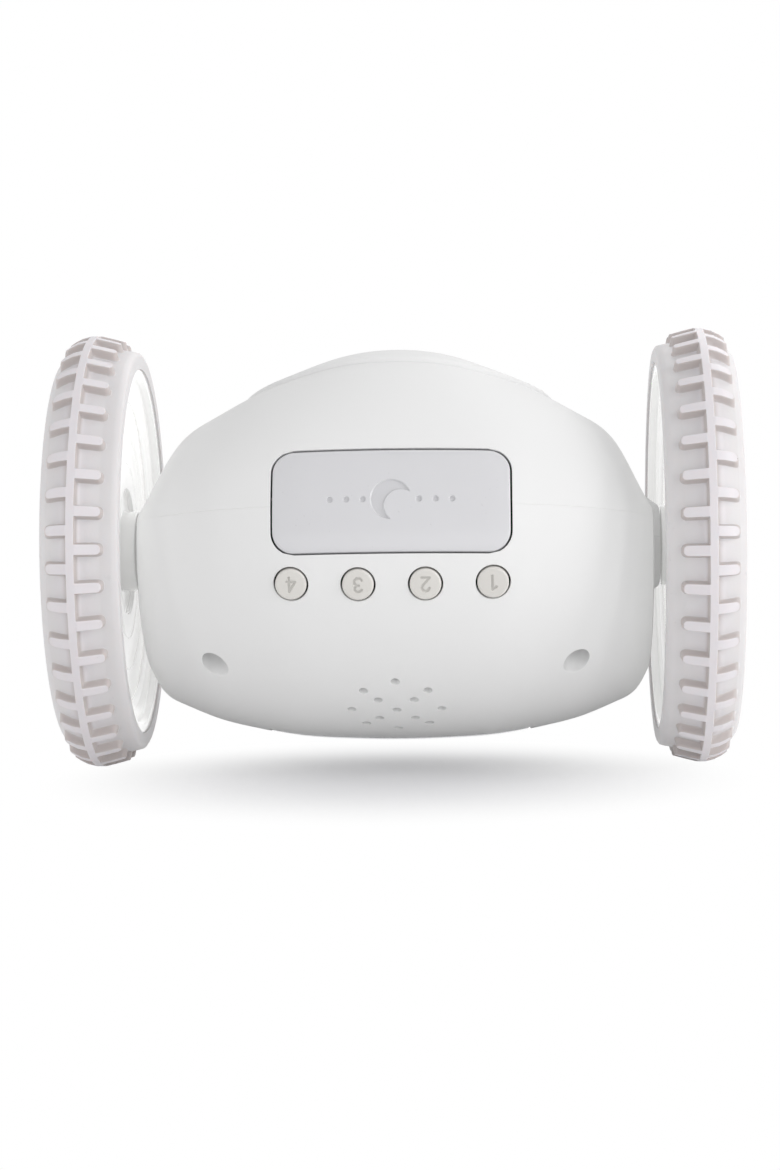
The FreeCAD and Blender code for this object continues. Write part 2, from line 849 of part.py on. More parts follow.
# ---------------------------------------------------------------- snooze bar
def snooze_prism(extra, y0, y1):
    plate = rounded_plate(snooze_length + 2 * extra, snooze_height + 2 * extra,
                          snooze_corner + extra, y1 - y0)
    plate.rotate(origin, along_x, -90)
    plate.translate(Vector(0, y0, snooze_z))
    return plate


snooze_face = body_centre_y - body_near
main_board_front = snooze_face + snooze_depth + main_board_drop
snooze_tip = main_board_front - switch_reach - switch_gap - snooze_travel


def make_snooze_mark():
    """A moon with a row of pips, pressed into the bar."""
    moon = rod(moon_radius, Vector(0, snooze_face - wall, snooze_z), Vector(0, 0, snooze_z))
    bite_x = moon_radius * moon_bite_across
    bite_z = snooze_z + moon_radius * moon_bite_up
    bite = rod(moon_radius * moon_bite, Vector(bite_x, snooze_face - wall, bite_z),
               Vector(bite_x, 0, bite_z))
    pieces = [moon.cut(bite)]
    for side in (-1, 1):
        for index in range(pip_count):
            x = side * (mark_length / 2 - index * pip_pitch)
            pieces.append(rod(pip_radius, Vector(x, snooze_face - wall, snooze_z),
                              Vector(x, 0, snooze_z)))
    return Part.makeCompound(pieces)


def make_snooze_bar():
    bar = snooze_prism(0, snooze_face - wall, body_centre_y)
    bar = bar.common(skin(snooze_sunk, snooze_depth))
    lip_outer = snooze_depth - snooze_lip_thickness
    lip = snooze_prism(snooze_lip, snooze_face - wall, body_centre_y)
    lip = lip.common(skin(lip_outer, snooze_depth))
    # the lip ends above the lower corners and leaves the set buttons their room
    lip_end = snooze_z - snooze_height / 2 + snooze_corner
    lip = lip.common(box(-far, far, -far, far, lip_end, far))
    pushers = []
    for side in (-1, 1):
        start = Vector(side * snooze_pusher_x, snooze_face + snooze_depth - 1, snooze_z)
        pushers.append(rod(pusher_radius, start, Vector(start.x, snooze_tip, snooze_z)))
    solid = join([bar, lip] + pushers)
    mark = make_snooze_mark().common(skin(-wall, snooze_sunk + mark_depth))
    return solid.cut(mark)


# ---------------------------------------------------------------- battery bay
def cell_centre(index, inset=cell_inset):
    turn = math.radians(cell_first_angle + index * cell_step_angle)
    return Vector(0, body_centre_y + (body_far - inset) * math.sin(turn),
                  -(body_belly - inset) * math.cos(turn))


cell_centres = [cell_centre(i) for i in range(cell_count)]
bay_half = cell_length / 2 + contact_room


def make_cells():
    cells = []
    for index, centre in enumerate(cell_centres):
        case = x_rod(cell_radius, -cell_length / 2, cell_length / 2 - cell_tip_height,
                     centre.y, centre.z)
        rims = [e for e in case.Edges if e.Length > cell_radius and len(e.Vertexes) == 1]
        case = case.makeFillet(cell_tip_height / 2, rims)
        tip = x_rod(cell_tip_radius, cell_length / 2 - 2 * cell_tip_height, cell_length / 2,
                    centre.y, centre.z)
        cell = join([case, tip])
        cells.append(mirrored(cell) if index % 2 else cell)
    return Part.makeCompound(cells)


def cell_slot(index, radius, half):
    """Room for one cell and the way out of it, square to the door."""
    centre = cell_centres[index]
    outer = cell_centre(index, 0)
    outward = outer.sub(centre)
    tube = x_rod(radius, -half, half, centre.y, centre.z)
    turn = math.degrees(math.atan2(outward.z, outward.y))
    way = box(-half, half, 0, outward.Length, -radius, radius)
    way.rotate(origin, along_x, turn)
    way.translate(centre)
    return join([tube, way])


def make_tray():
    half = bay_half + tray_end
    shells = []
    pockets = []
    for index in range(cell_count):
        shells.append(cell_slot(index, cell_radius + cell_clearance + tray_wall, half))
        pockets.append(cell_slot(index, cell_radius + cell_clearance / 2, bay_half))
    tray = join(shells).common(body(wall))
    tray = tray.common(box(-far, far, -far, far, -far, -lip_height - part_gap))
    door_room = door_region(part_gap).common(skin(-wall, wall + part_gap))
    tray = tray.cut(join(pockets)).cut(door_room)
    # lanes that the door's tongues slide out through
    lane_top = -body_belly + wall + slide_fit + tongue_thickness + 3 * part_gap
    for side in (-1, 1):
        half = tongue_width / 2 + part_gap
        tray = tray.cut(box(side * tongue_x - half, side * tongue_x + half,
                            door_near_y - tongue_length - 2 * part_gap,
                            door_near_y + 4 * tongue_length, -far, lane_top))
    return tray


def contact_places():
    """(centre, side of the sprung contact) of every cell."""
    return [(centre, 1 if index % 2 else -1) for index, centre in enumerate(cell_centres)]


def make_contact_plates():
    plates = []
    half = plate_size / 2
    for centre in cell_centres:
        plate = box(bay_half - plate_thickness, bay_half, centre.y - half, centre.y + half,
                    centre.z - half / 2, centre.z + half / 2)
        plates.append(plate)
        plates.append(mirrored(plate))
    return Part.makeCompound(plates)


def make_contact_springs():
    """Bowed leaves that stand on the plates and reach nearly to the cells."""
    springs = []
    foot = bay_half - plate_thickness
    crest = cell_length / 2 + slide_fit
    for centre, side in contact_places():
        outer = bow(crest, foot, leaf_half, centre)
        inner = bow(crest + leaf_thickness, foot, leaf_half - leaf_thickness, centre)
        feet = [Part.makeLine(outer.valueAt(outer.LastParameter), inner.valueAt(inner.LastParameter)),
                Part.makeLine(inner.valueAt(inner.FirstParameter), outer.valueAt(outer.FirstParameter))]
        outline = Part.Wire(Part.__sortEdges__([outer, feet[0], inner, feet[1]]))
        leaf = Part.Face(outline).extrude(Vector(0, 0, leaf_width))
        leaf.translate(Vector(0, 0, -leaf_width / 2))
        springs.append(leaf if side > 0 else mirrored(leaf))
    return Part.makeCompound(springs)


def bow(crest, foot, half, centre):
    """Arc from foot to foot through the crest, in the plane of the cell's axis."""
    return Part.Arc(Vector(foot, centre.y - half, centre.z), Vector(crest, centre.y, centre.z),
                    Vector(foot, centre.y + half, centre.z)).toShape()


def door_region(extra):
    return box(-door_half_length - extra, door_half_length + extra,
               door_near_y - extra, far, -far, door_top_z + extra)


def tongue(side):
    """Flat tab of the door that lies behind the edge of its opening."""
    half = tongue_width / 2
    return box(side * tongue_x - half, side * tongue_x + half,
               door_near_y - part_gap - tongue_length, door_near_y + tongue_length, -far, 0)


def make_door():
    door = door_region(0).common(skin(0, wall))
    tabs = join([tongue(side) for side in (-1, 1)])
    behind = tabs.common(skin(wall + slide_fit, wall + slide_fit + tongue_thickness))
    root = tabs.common(skin(wall / 2, wall + tongue_thickness)).common(door_region(0))
    tongues = root.fuse(behind)
    grip = Part.makeSphere(grip_radius, Vector(
        0, body_centre_y + body_far + grip_radius - grip_depth, door_top_z - grip_radius / 2))
    return join([door, tongues]).cut(grip)


# ---------------------------------------------------------------- speaker
lean = math.radians(speaker_lean)
speaker_outward = Vector(0, -math.sin(lean), -math.cos(lean))
speaker_axis_point = Vector(0, speaker_y, -body_belly / 2)
speaker_level = clear_level(speaker_axis_point, speaker_outward, speaker_radius, wall) - part_gap
speaker_front = speaker_axis_point.add(
    speaker_outward * (speaker_level - speaker_axis_point.dot(speaker_outward)))


def speaker_turned(points):
    """points are (radius, height behind the front face)."""
    outline = [Vector(r, 0, -h) for r, h in points]
    solid = turned(outline, origin, along_z)
    return oriented(solid, speaker_front, speaker_outward)


def make_speaker_frame():
    return speaker_turned([
        (speaker_radius - speaker_rim, 0), (speaker_radius, 0), (speaker_radius, speaker_sheet * 2),
        (speaker_radius - speaker_rim, speaker_sheet * 2), (magnet_radius + speaker_sheet,
                                                           speaker_depth),
        (magnet_radius * 0.6, speaker_depth), (magnet_radius * 0.6, speaker_depth - speaker_sheet),
        (magnet_radius, speaker_depth - speaker_sheet),
        (speaker_radius - speaker_rim, speaker_sheet)])


def make_speaker_cone():
    return speaker_turned([
        (0, speaker_sheet * 3), (magnet_radius * 0.5, speaker_sheet * 4),
        (speaker_radius - 2 * speaker_rim, speaker_sheet), (speaker_radius - speaker_rim, 0),
        (speaker_radius - speaker_rim, speaker_sheet / 2),
        (speaker_radius - 2 * speaker_rim, speaker_sheet * 1.5),
        (magnet_radius * 0.5, speaker_sheet * 4.5), (0, speaker_sheet * 3.5)])


def make_speaker_magnet():
    back = speaker_depth + magnet_height
    return speaker_turned([(0, speaker_depth), (magnet_radius, speaker_depth),
                           (magnet_radius, back - speaker_sheet), (magnet_radius - speaker_sheet, back),
                           (0, back)])


def make_speaker_seat():
    """Ring on the inside of the rear shell that the speaker stands in."""
    outer = Part.makeCylinder(speaker_radius + slide_fit + speaker_seat_wall, far)
    inner = Part.makeCylinder(speaker_radius + slide_fit, far)
    ledge = Part.makeCylinder(speaker_radius - speaker_rim / 2, far)
    ring = outer.cut(inner)
    ring.translate(Vector(0, 0, -2 * speaker_sheet))
    step = inner.cut(ledge)
    seat = oriented(join([ring, step]), speaker_front, speaker_outward)
    return seat.common(body(wall / 2))


def make_sound_holes():
    places = [(0.0, 0.0)]
    for ring_radius, count, first in sound_rings:
        for index in range(count):
            turn = math.radians(first + 360 * index / count)
            places.append((ring_radius * math.cos(turn), ring_radius * math.sin(turn)))
    holes = [z_rod(sound_hole_radius, x, speaker_y + y, -far, speaker_front.z) for x, y in places]
    return Part.makeCompound(holes)


# ---------------------------------------------------------------- face and display
def at_face(shape):
    moved = shape.copy()
    moved.translate(Vector(0, body_centre_y, 0))
    return moved


def window_block(extra):
    return at_face(rounded_plate(window_length + 2 * extra, window_width + 2 * extra,
                                 window_corner + extra, far))


def make_face_plate():
    plate = at_face(oval_plate(face_half_length, face_half_width, far))
    plate = plate.common(skin(-face_proud, face_recess))
    plate = plate.cut(window_block(slide_fit))
    for button in face_buttons:
        plate = plate.cut(button.hole())
    return plate


def make_window():
    """Clear lens that follows the dome, with a ledge that sits under the face plate."""
    pane = window_block(0).common(skin(-face_proud, face_recess + window_wall))
    ledge = window_block(window_ledge)
    ledge = ledge.common(skin(face_recess + slide_fit, face_recess + window_wall))
    return join([pane, ledge])


def make_shroud():
    """Dark frame between the window and the display."""
    outer = at_face(rounded_plate(lcd_length + 2 * shroud_wall, lcd_width + 2 * shroud_wall,
                                  window_corner, far))
    inner = at_face(rounded_plate(lcd_length - shroud_wall, lcd_width - shroud_wall,
                                  window_corner, far))
    pocket = at_face(box(-lcd_length / 2, lcd_length / 2, -lcd_width / 2, lcd_width / 2,
                         0, lcd_top))
    frame = outer.common(body(face_recess + window_wall + slide_fit))
    frame = frame.cut(inner).cut(pocket)
    return frame.common(box(-far, far, -far, far, display_board_top, far))


def display_slab(length, width, top, thickness):
    return at_face(box(-length / 2, length / 2, -width / 2, width / 2, top - thickness, top))


def make_backlight():
    return display_slab(lcd_length - 2 * zebra_width, lcd_width - 3 * zebra_width,
                        lcd_top - lcd_thickness, backlight_thickness)


def make_zebra_strips():
    strips = []
    for side in (-1, 1):
        strip = box(-lcd_length / 2 + zebra_width, lcd_length / 2 - zebra_width,
                    -zebra_width / 2, zebra_width / 2,
                    display_board_top, lcd_top - lcd_thickness)
        strip.translate(Vector(0, body_centre_y + side * (lcd_width / 2 - zebra_width), 0))
        strips.append(strip)
    return Part.makeCompound(strips)


def display_posts():
    """Where the display board is screwed to posts under the front shell."""
    places = []
    reach_x = display_board_length / 2 - display_post_end
    reach_y = display_board_width / 2 - display_post_edge
    for x in (-reach_x, reach_x):
        for side in (-1, 1):
            places.append((x, body_centre_y + side * reach_y))
    return places


def make_display_board():
    board = display_slab(display_board_length, display_board_width, display_board_top,
                         board_thickness)
    for x, y in display_posts():
        board = board.cut(z_rod(screw_shank_radius, x, y, 0, far))
    return board


# ---------------------------------------------------------------- boards
board_edge = main_board_length / 2


def make_main_board():
    return box(-board_edge, board_edge, main_board_front, main_board_front + board_thickness,
               main_board_bottom, main_board_bottom + main_board_height)


set_board_centre = set_buttons[0].top.sub(set_outward * set_buttons[0].top.dot(set_outward))
set_board_centre = Vector(0, set_board_centre.y, set_board_centre.z).add(
    set_outward * set_board_level)


def make_set_board():
    length = (set_button_count - 1) * set_button_pitch + 2 * set_board_margin
    board = box(-length / 2, length / 2, -set_board_width / 2, set_board_width / 2,
                -board_thickness, 0)
    return oriented(board, set_board_centre, set_outward)


def make_switches():
    switches = []
    for side in (-1, 1):
        switches.append(tact_switch(Vector(side * snooze_pusher_x, main_board_front, snooze_z),
                                    along_y * -1, along_x))
    for x in set_xs:
        switches.append(tact_switch(set_board_centre.add(Vector(x, 0, 0)), set_outward, along_x))
    for button in face_buttons:
        switches.append(tact_switch(Vector(button.top.x, button.top.y, display_board_top),
                                    along_z, along_x))
    return Part.makeCompound(switches)


chip_sizes = ((10.0, 8.0, 1.6, -12.0), (6.0, 5.0, 1.4, 2.0), (4.0, 6.0, 1.4, 11.0))


def make_chips():
    """Controller, melody chip and motor driver on the back of the main board."""
    back = main_board_front + board_thickness
    chip_top = main_board_bottom + main_board_height - chip_edge
    chips = []
    for length, height, thickness, x in chip_sizes:
        chips.append(box(x - length / 2, x + length / 2, back, back + thickness,
                         chip_top - height, chip_top))
    return Part.makeCompound(chips)


def make_crystal():
    y = main_board_front + board_thickness + crystal_radius
    top = main_board_bottom + main_board_height - chip_edge
    return rod(crystal_radius, Vector(crystal_x, y, top - crystal_length),
               Vector(crystal_x, y, top))


# ---------------------------------------------------------------- shells
screw_places = [(side * screw_x, y) for side in (-1, 1) for y in (screw_near_y, screw_far_y)]


def seam_lip():
    """Low wall along the rear shell's edge that keeps the two shells in line."""
    end = gearbox_start
    lip = skin(wall + lip_gap, wall + lip_wall)
    lip = lip.common(box(-end, end, -far, far, -lip_height, lip_height))
    root = skin(wall / 2, wall + lip_wall)
    root = root.common(box(-end, end, -far, far, -lip_height, -lip_gap))
    room = snooze_prism(snooze_lip + snooze_gap, snooze_face - wall, main_board_front)
    return join([lip, root]).cut(room)


def neck(side):
    start = body_half_length - 2 * wall
    cone = Part.makeCone(neck_root_radius, neck_radius, neck_end - neck_root,
                         Vector(neck_root, 0, 0), along_x)
    collar = join([x_rod(neck_radius, start, neck_end), cone])
    return collar if side > 0 else mirrored(collar)


def bush_room(side):
    room = join([x_rod(bush_radius, 0, neck_end),
                 x_rod(bush_flange_radius, 0, bush_start + bush_flange)])
    room = room.cut(x_rod(bush_flange_radius, 0, gearbox_end))
    return room if side > 0 else mirrored(room)


def gearbox_cradle(side):
    """Ribs of the rear shell that the gearbox stands on."""
    ribs = []
    for x in (gearbox_start + gearbox_plate / 2, gearbox_lid - gearbox_plate / 2):
        rib = box(x - cradle_rib / 2, x + cradle_rib / 2, first_centre.y - cradle_reach,
                  second_centre.y + cradle_reach, -far, second_centre.z)
        ribs.append(rib)
    cradle = join(ribs).common(body(wall / 2))
    cradle = cradle.cut(gearbox_outline(gearbox_wall, gearbox_start - wall, gearbox_end + wall))
    return cradle if side > 0 else mirrored(cradle)


def motor_cradle(side):
    x0 = motor_can_start + cradle_inset
    rib = box(x0, x0 + cradle_rib, motor_centre.y + cradle_edge,
              motor_centre.y + motor_radius - cradle_edge, -far, motor_centre.z)
    rib = rib.common(body(wall / 2)).cut(motor_outline(0, 0, gearbox_start))
    return rib if side > 0 else mirrored(rib)


def board_rails():
    rails = []
    front = main_board_front - rail_depth / 2 + board_thickness / 2
    for side in (-1, 1):
        x0 = board_edge - rail_groove if side > 0 else -board_edge + rail_groove - rail_width
        rail = box(x0, x0 + rail_width, front, front + rail_depth, -far,
                   main_board_bottom + main_board_height - rail_drop)
        rails.append(rail)
    groove = box(-board_edge - slide_fit, board_edge + slide_fit, main_board_front - slide_fit,
                 main_board_front + board_thickness + slide_fit, main_board_bottom, far)
    return join(rails).common(body(wall / 2)).cut(groove)


def set_board_posts():
    """Two posts that the set-button board is screwed to."""
    posts = []
    for side in (-1, 1):
        offset = Vector(side * set_button_pitch, 0, 0)
        base = set_board_centre.add(offset)
        posts.append(rod(set_post_radius, base, base.add(set_outward * far)))
    return join(posts).common(body(wall / 2))


def make_rear_shell():
    shell = join([skin(0, wall), neck(-1), neck(1)]).common(below)
    bosses = []
    for x, y in screw_places:
        bosses.append(z_rod(screw_well_radius + screw_boss_wall, x, y, -far, 0))
    extras = [join(bosses).common(body(wall / 2)), make_speaker_seat(), seam_lip(),
              board_rails(), set_board_posts()]
    for side in (-1, 1):
        extras.append(gearbox_cradle(side))
        extras.append(motor_cradle(side))
    shell = join([shell] + extras)
    for x, y in screw_places:
        shell = shell.cut(z_rod(screw_well_radius, x, y, -far, screw_well_top))
        shell = shell.cut(z_rod(screw_shank_radius + slide_fit, x, y, -far, far))
    shell = shell.cut(bush_room(1)).cut(bush_room(-1))
    shell = shell.cut(snooze_prism(snooze_gap, snooze_face - wall, main_board_front))
    for button in set_buttons:
        shell = shell.cut(button.hole())
    shell = shell.cut(door_region(part_gap).common(skin(-wall, wall)))
    shell = shell.cut(make_sound_holes())
    return shell


def make_front_shell():
    shell = join([skin(0, wall), neck(-1), neck(1)]).common(above)
    bosses = []
    for x, y in screw_places:
        bosses.append(z_rod(screw_well_radius + screw_boss_wall, x, y, 0, far))
    for x, y in display_posts():
        bosses.append(z_rod(board_post_radius, x, y, display_board_top, far))
    shell = join([shell, join(bosses).common(body(wall - slide_fit))])
    for x, y in screw_places:
        shell = shell.cut(z_rod(screw_shank_radius, x, y, -far, screw_bite))
    for x, y in display_posts():
        shell = shell.cut(z_rod(board_screw_shank, x, y, 0, display_board_top + screw_bite / 2))
    shell = shell.cut(bush_room(1)).cut(bush_room(-1))
    shell = shell.cut(snooze_prism(snooze_gap, snooze_face - wall, body_centre_y + snooze_face / 2))
    plate_room = at_face(oval_plate(face_half_length + slide_fit, face_half_width + slide_fit, far))
    shell = shell.cut(plate_room.common(skin(-2 * wall, face_recess)))
    display_room = at_face(rounded_plate(lcd_length + 2 * shroud_wall + part_gap,
                                         lcd_width + 2 * shroud_wall + part_gap,
                                         window_corner, far))
    shell = shell.cut(display_room)
    for button in face_buttons:
        shell = shell.cut(button.hole())
    return shell


# ---------------------------------------------------------------- screws
def make_housing_screws():
    screws = []
    for x, y in screw_places:
        shank = z_rod(screw_shank_radius, x, y, screw_well_top, screw_bite)
        head = z_rod(screw_head_radius, x, y, screw_well_top - screw_head_height, screw_well_top)
        floor = screw_well_top - cross_depth
        cross = join([box(x - cross_half, x + cross_half, y - cross_width, y + cross_width,
                          -far, floor),
                      box(x - cross_width, x + cross_width, y - cross_half, y + cross_half,
                          -far, floor)])
        screws.append(join([shank, head]).cut(cross))
    return Part.makeCompound(screws)


def make_board_screws():
    screws = []
    for x, y in display_posts():
        under = display_board_top - board_thickness
        shank = z_rod(board_screw_shank, x, y, under, under + screw_bite / 2)
        head = z_rod(board_screw_head, x, y, under - board_screw_head_height, under)
        screws.append(join([shank, head]))
    return Part.makeCompound(screws)


# ---------------------------------------------------------------- write the parts
def both_sides(name, shape, rolling=False):
    save("right_" + name, shape, rolling)
    save("left_" + name, mirrored(shape), rolling)


def both_in_one(name, shape):
    save(name, Part.makeCompound([shape, mirrored(shape)]))


save("front_shell", make_front_shell())
save("rear_shell", make_rear_shell())
save("face_plate", make_face_plate())
save("display_window", make_window())
save("lcd_shroud", make_shroud())
save("lcd_glass", display_slab(lcd_length, lcd_width, lcd_top, lcd_thickness))
save("backlight_panel", make_backlight())
save("zebra_strips", make_zebra_strips())
save("display_board", make_display_board())
save("main_board", make_main_board())
save("set_button_board", make_set_board())
save("board_chips", make_chips())
save("quartz_crystal", make_crystal())
save("push_switches", make_switches())
save("speaker_frame", make_speaker_frame())
save("speaker_cone", make_speaker_cone())
save("speaker_magnet", make_speaker_magnet())
save("battery_tray", make_tray())
save("battery_cells", make_cells())
save("battery_springs", make_contact_springs())
save("battery_plates", make_contact_plates())
save("battery_door", make_door())
save("housing_screws", make_housing_screws())
save("board_screws", make_board_screws())
save("snooze_bar", make_snooze_bar())
for number, button in enumerate(set_buttons):
    save("set_button_" + str(number + 1), make_set_button(button))
save("alarm_button", make_face_button(face_buttons[0]))
save("wheels_button", make_face_button(face_buttons[1]))
save("gear_pins", make_gear_pins())
both_sides("gearbox_case", make_gearbox_case())
both_in_one("gearbox_covers", make_gearbox_cover())
both_in_one("motor_cans", make_motor_can())
both_in_one("motor_caps", make_motor_cap())
both_in_one("motor_magnets", make_motor_magnets())
both_in_one("axle_bushes", make_bush())
both_sides("motor_armature", make_armature())
both_sides("motor_pinion", make_motor_pinion())
both_sides("first_gear", make_first_gear())
both_sides("second_gear", make_second_gear())
both_sides("output_gear", make_output_gear())
both_sides("axle", make_axle())
both_sides("wheel_rim", make_rim())
both_sides("hub_cap", make_hub_cap())
both_sides("wheel_screw", make_wheel_screw())
save("right_tyre", make_tyre(right_lug_phase, 0.0), rolling=True)
save("left_tyre", mirrored(make_tyre(left_lug_phase, 0.5)), rolling=True)
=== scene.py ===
import math
import bmesh
import bpy
import numpy as np
from mathutils import Matrix, Vector
from mathutils.bvhtree import BVHTree


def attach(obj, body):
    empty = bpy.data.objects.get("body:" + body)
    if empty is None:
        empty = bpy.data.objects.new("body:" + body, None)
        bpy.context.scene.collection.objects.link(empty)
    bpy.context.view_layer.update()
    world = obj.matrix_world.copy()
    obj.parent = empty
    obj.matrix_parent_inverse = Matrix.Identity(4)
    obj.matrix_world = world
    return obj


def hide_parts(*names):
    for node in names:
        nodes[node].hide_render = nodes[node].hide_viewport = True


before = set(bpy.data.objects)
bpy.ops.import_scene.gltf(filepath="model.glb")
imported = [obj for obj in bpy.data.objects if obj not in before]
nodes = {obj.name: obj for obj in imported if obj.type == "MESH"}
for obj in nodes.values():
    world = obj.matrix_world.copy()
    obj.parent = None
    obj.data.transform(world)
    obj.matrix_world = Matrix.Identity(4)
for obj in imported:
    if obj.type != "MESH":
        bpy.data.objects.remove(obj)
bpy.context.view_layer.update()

# Everything below is worked out in millimetres in the clock's own frame:
# x along the axle, z out of the face, -y out of the snooze bar, origin on the axle.
wheelRadius = 44.45
leanBack = math.radians(15.0)


def toFloor(points, rolling=False):
    # clock frame in mm to the floor frame in metres
    p = np.asarray(points, dtype=float)
    c, s = (1.0, 0.0) if rolling else (math.cos(leanBack), math.sin(leanBack))
    placed = np.stack([p[..., 0], p[..., 1] * c + p[..., 2] * s,
                       p[..., 2] * c - p[..., 1] * s + wheelRadius], axis=-1)
    return placed / 1000


# ---- shader helpers

class Wire:
    # a socket that can be used in sums
    def __init__(self, graph, socket):
        self.graph = graph
        self.socket = socket

    def sum(self, kind, a, b):
        return self.graph.node("ShaderNodeMath", {"operation": kind}, {0: a, 1: b})

    def limited(self):
        # kept between 0 and 1
        return self.graph.node("ShaderNodeClamp", inputs={"Value": self})

    def __add__(self, other):
        return self.sum("ADD", self, other)

    def __radd__(self, other):
        return self.sum("ADD", other, self)

    def __sub__(self, other):
        return self.sum("SUBTRACT", self, other)

    def __rsub__(self, other):
        return self.sum("SUBTRACT", other, self)

    def __mul__(self, other):
        return self.sum("MULTIPLY", self, other)

    def __rmul__(self, other):
        return self.sum("MULTIPLY", other, self)

    def __truediv__(self, other):
        return self.sum("DIVIDE", self, other)

    def __pow__(self, other):
        return self.sum("POWER", self, other)


class Graph:
    # the node tree of one material, or of the world
    def __init__(self, name="", owner=None):
        self.material = owner or bpy.data.materials.new(name)
        self.material.use_nodes = True
        self.tree = self.material.node_tree
        self.tree.nodes.clear()

    def node(self, kind, settings=None, inputs=None, output=0):
        made = self.tree.nodes.new(kind)
        for key, value in (settings or {}).items():
            setattr(made, key, value)
        for key, value in (inputs or {}).items():
            if isinstance(value, Wire):
                self.tree.links.new(value.socket, made.inputs[key])
            else:
                made.inputs[key].default_value = value
        return Wire(self, made.outputs[output]) if len(made.outputs) else None

    def place(self):
        return self.node("ShaderNodeTexCoord", output="Object")

    def part(self, vector, axis):
        return self.node("ShaderNodeSeparateXYZ", inputs={0: vector}, output=axis)

    def along(self, vector, direction):
        # how far the vector reaches in this direction
        return self.node("ShaderNodeVectorMath", {"operation": "DOT_PRODUCT"},
                         {0: vector, 1: direction}, output="Value")

    def size(self, value):
        return self.node("ShaderNodeMath", {"operation": "ABSOLUTE"}, {0: value})

    def fromAxle(self):
        # the place of a point, and how far back, up and out it is from the axle
        where = self.place()
        back = self.part(where, 1)
        up = self.part(where, 2) - wheelRadius / 1000
        return where, back, up, (back * back + up * up) ** 0.5

    def noise(self, scale, detail=3.0, rough=0.5, stretch=None):
        where = self.place()
        if stretch:
            where = self.node("ShaderNodeVectorMath", {"operation": "MULTIPLY"},
                              {0: where, 1: stretch})
        return self.node("ShaderNodeTexNoise", inputs={
            "Vector": where, "Scale": scale, "Detail": detail, "Roughness": rough})

    def step(self, value, low, high):
        # 0 below low, 1 above high, smooth between
        return self.node("ShaderNodeMapRange", {"interpolation_type": "SMOOTHSTEP"},
                         {"Value": value, "From Min": low, "From Max": high})

    def blend(self, factor, a, b):
        # a where the factor is 0, b where it is 1
        return self.node("ShaderNodeMix", {"data_type": "RGBA"}, {0: factor, 6: a, 7: b}, output=2)

    def bump(self, height, distance, normal=None):
        values = {"Height": height, "Distance": distance}
        if normal:
            values["Normal"] = normal
        return self.node("ShaderNodeBump", inputs=values)

    def close(self, **sockets):
        # the surface, its sockets named with _ for a space
        values = {key.replace("_", " "): value for key, value in sockets.items()}
        shader = self.node("ShaderNodeBsdfPrincipled", inputs=values)
        self.node("ShaderNodeOutputMaterial", inputs={"Surface": shader})
        return self.material


def rgb(red, green, blue):
    return (red, green, blue, 1.0)


def shade(colour, factor):
    return rgb(*(level * factor for level in colour[:3]))


# ---- finishes

def moulded(name, colour, rough=0.16, coat=0.3, peel=0.000004, cloud=0.03, paint=None):
    # injection moulded plastic: faint flow clouds, orange peel, dust and hairline scuffs
    look = {"dust": 0.25, "dusty": 0.62, "uneven": 0.05, "scuffed": 0.06, "coatRough": 0.05}
    g = Graph(name)
    flow = g.noise(38.0, 4.0, 0.55)
    grain = g.noise(2600.0, 2.0)
    dust = g.step(g.noise(1500.0, 1.0), 0.74, 0.79) * look["dust"]
    scuff = g.step(g.noise(160.0, 6.0, 0.7, stretch=(1.0, 9.0, 3.0)), 0.60, 0.72)
    tone = g.blend(g.step(flow, 0.3, 0.7), shade(colour, 1.0 - cloud), colour)
    tone = g.blend(dust, tone, shade(colour, look["dusty"]))
    if paint:
        tone = paint(g, tone)
    roughness = rough + look["uneven"] * g.noise(210.0, 3.0) + look["scuffed"] * scuff
    waves = g.bump(g.noise(520.0, 2.0), peel)
    normal = g.bump(grain, peel * 0.4, normal=waves)
    return g.close(Base_Color=tone, Roughness=roughness, Normal=normal,
                   Coat_Weight=coat, Coat_Roughness=look["coatRough"])


def metal(name, colour, rough=0.32, tarnish=0.25):
    # brushed along the axle, and stained in places
    look = {"brushed": (1.0, 30.0, 30.0), "stained": 0.55, "bright": 1.15}
    g = Graph(name)
    lines = g.noise(420.0, 5.0, 0.65, stretch=look["brushed"])
    stain = g.step(g.noise(120.0, 4.0), 0.45, 0.72) * tarnish
    tone = g.blend(stain, colour, shade(colour, look["stained"]))
    tone = g.blend(g.step(lines, 0.35, 0.7) * 0.25, tone, shade(colour, look["bright"]))
    return g.close(Base_Color=tone, Metallic=1.0, Roughness=rough + 0.16 * lines + 0.2 * stain,
                   Normal=g.bump(lines, 0.000012))


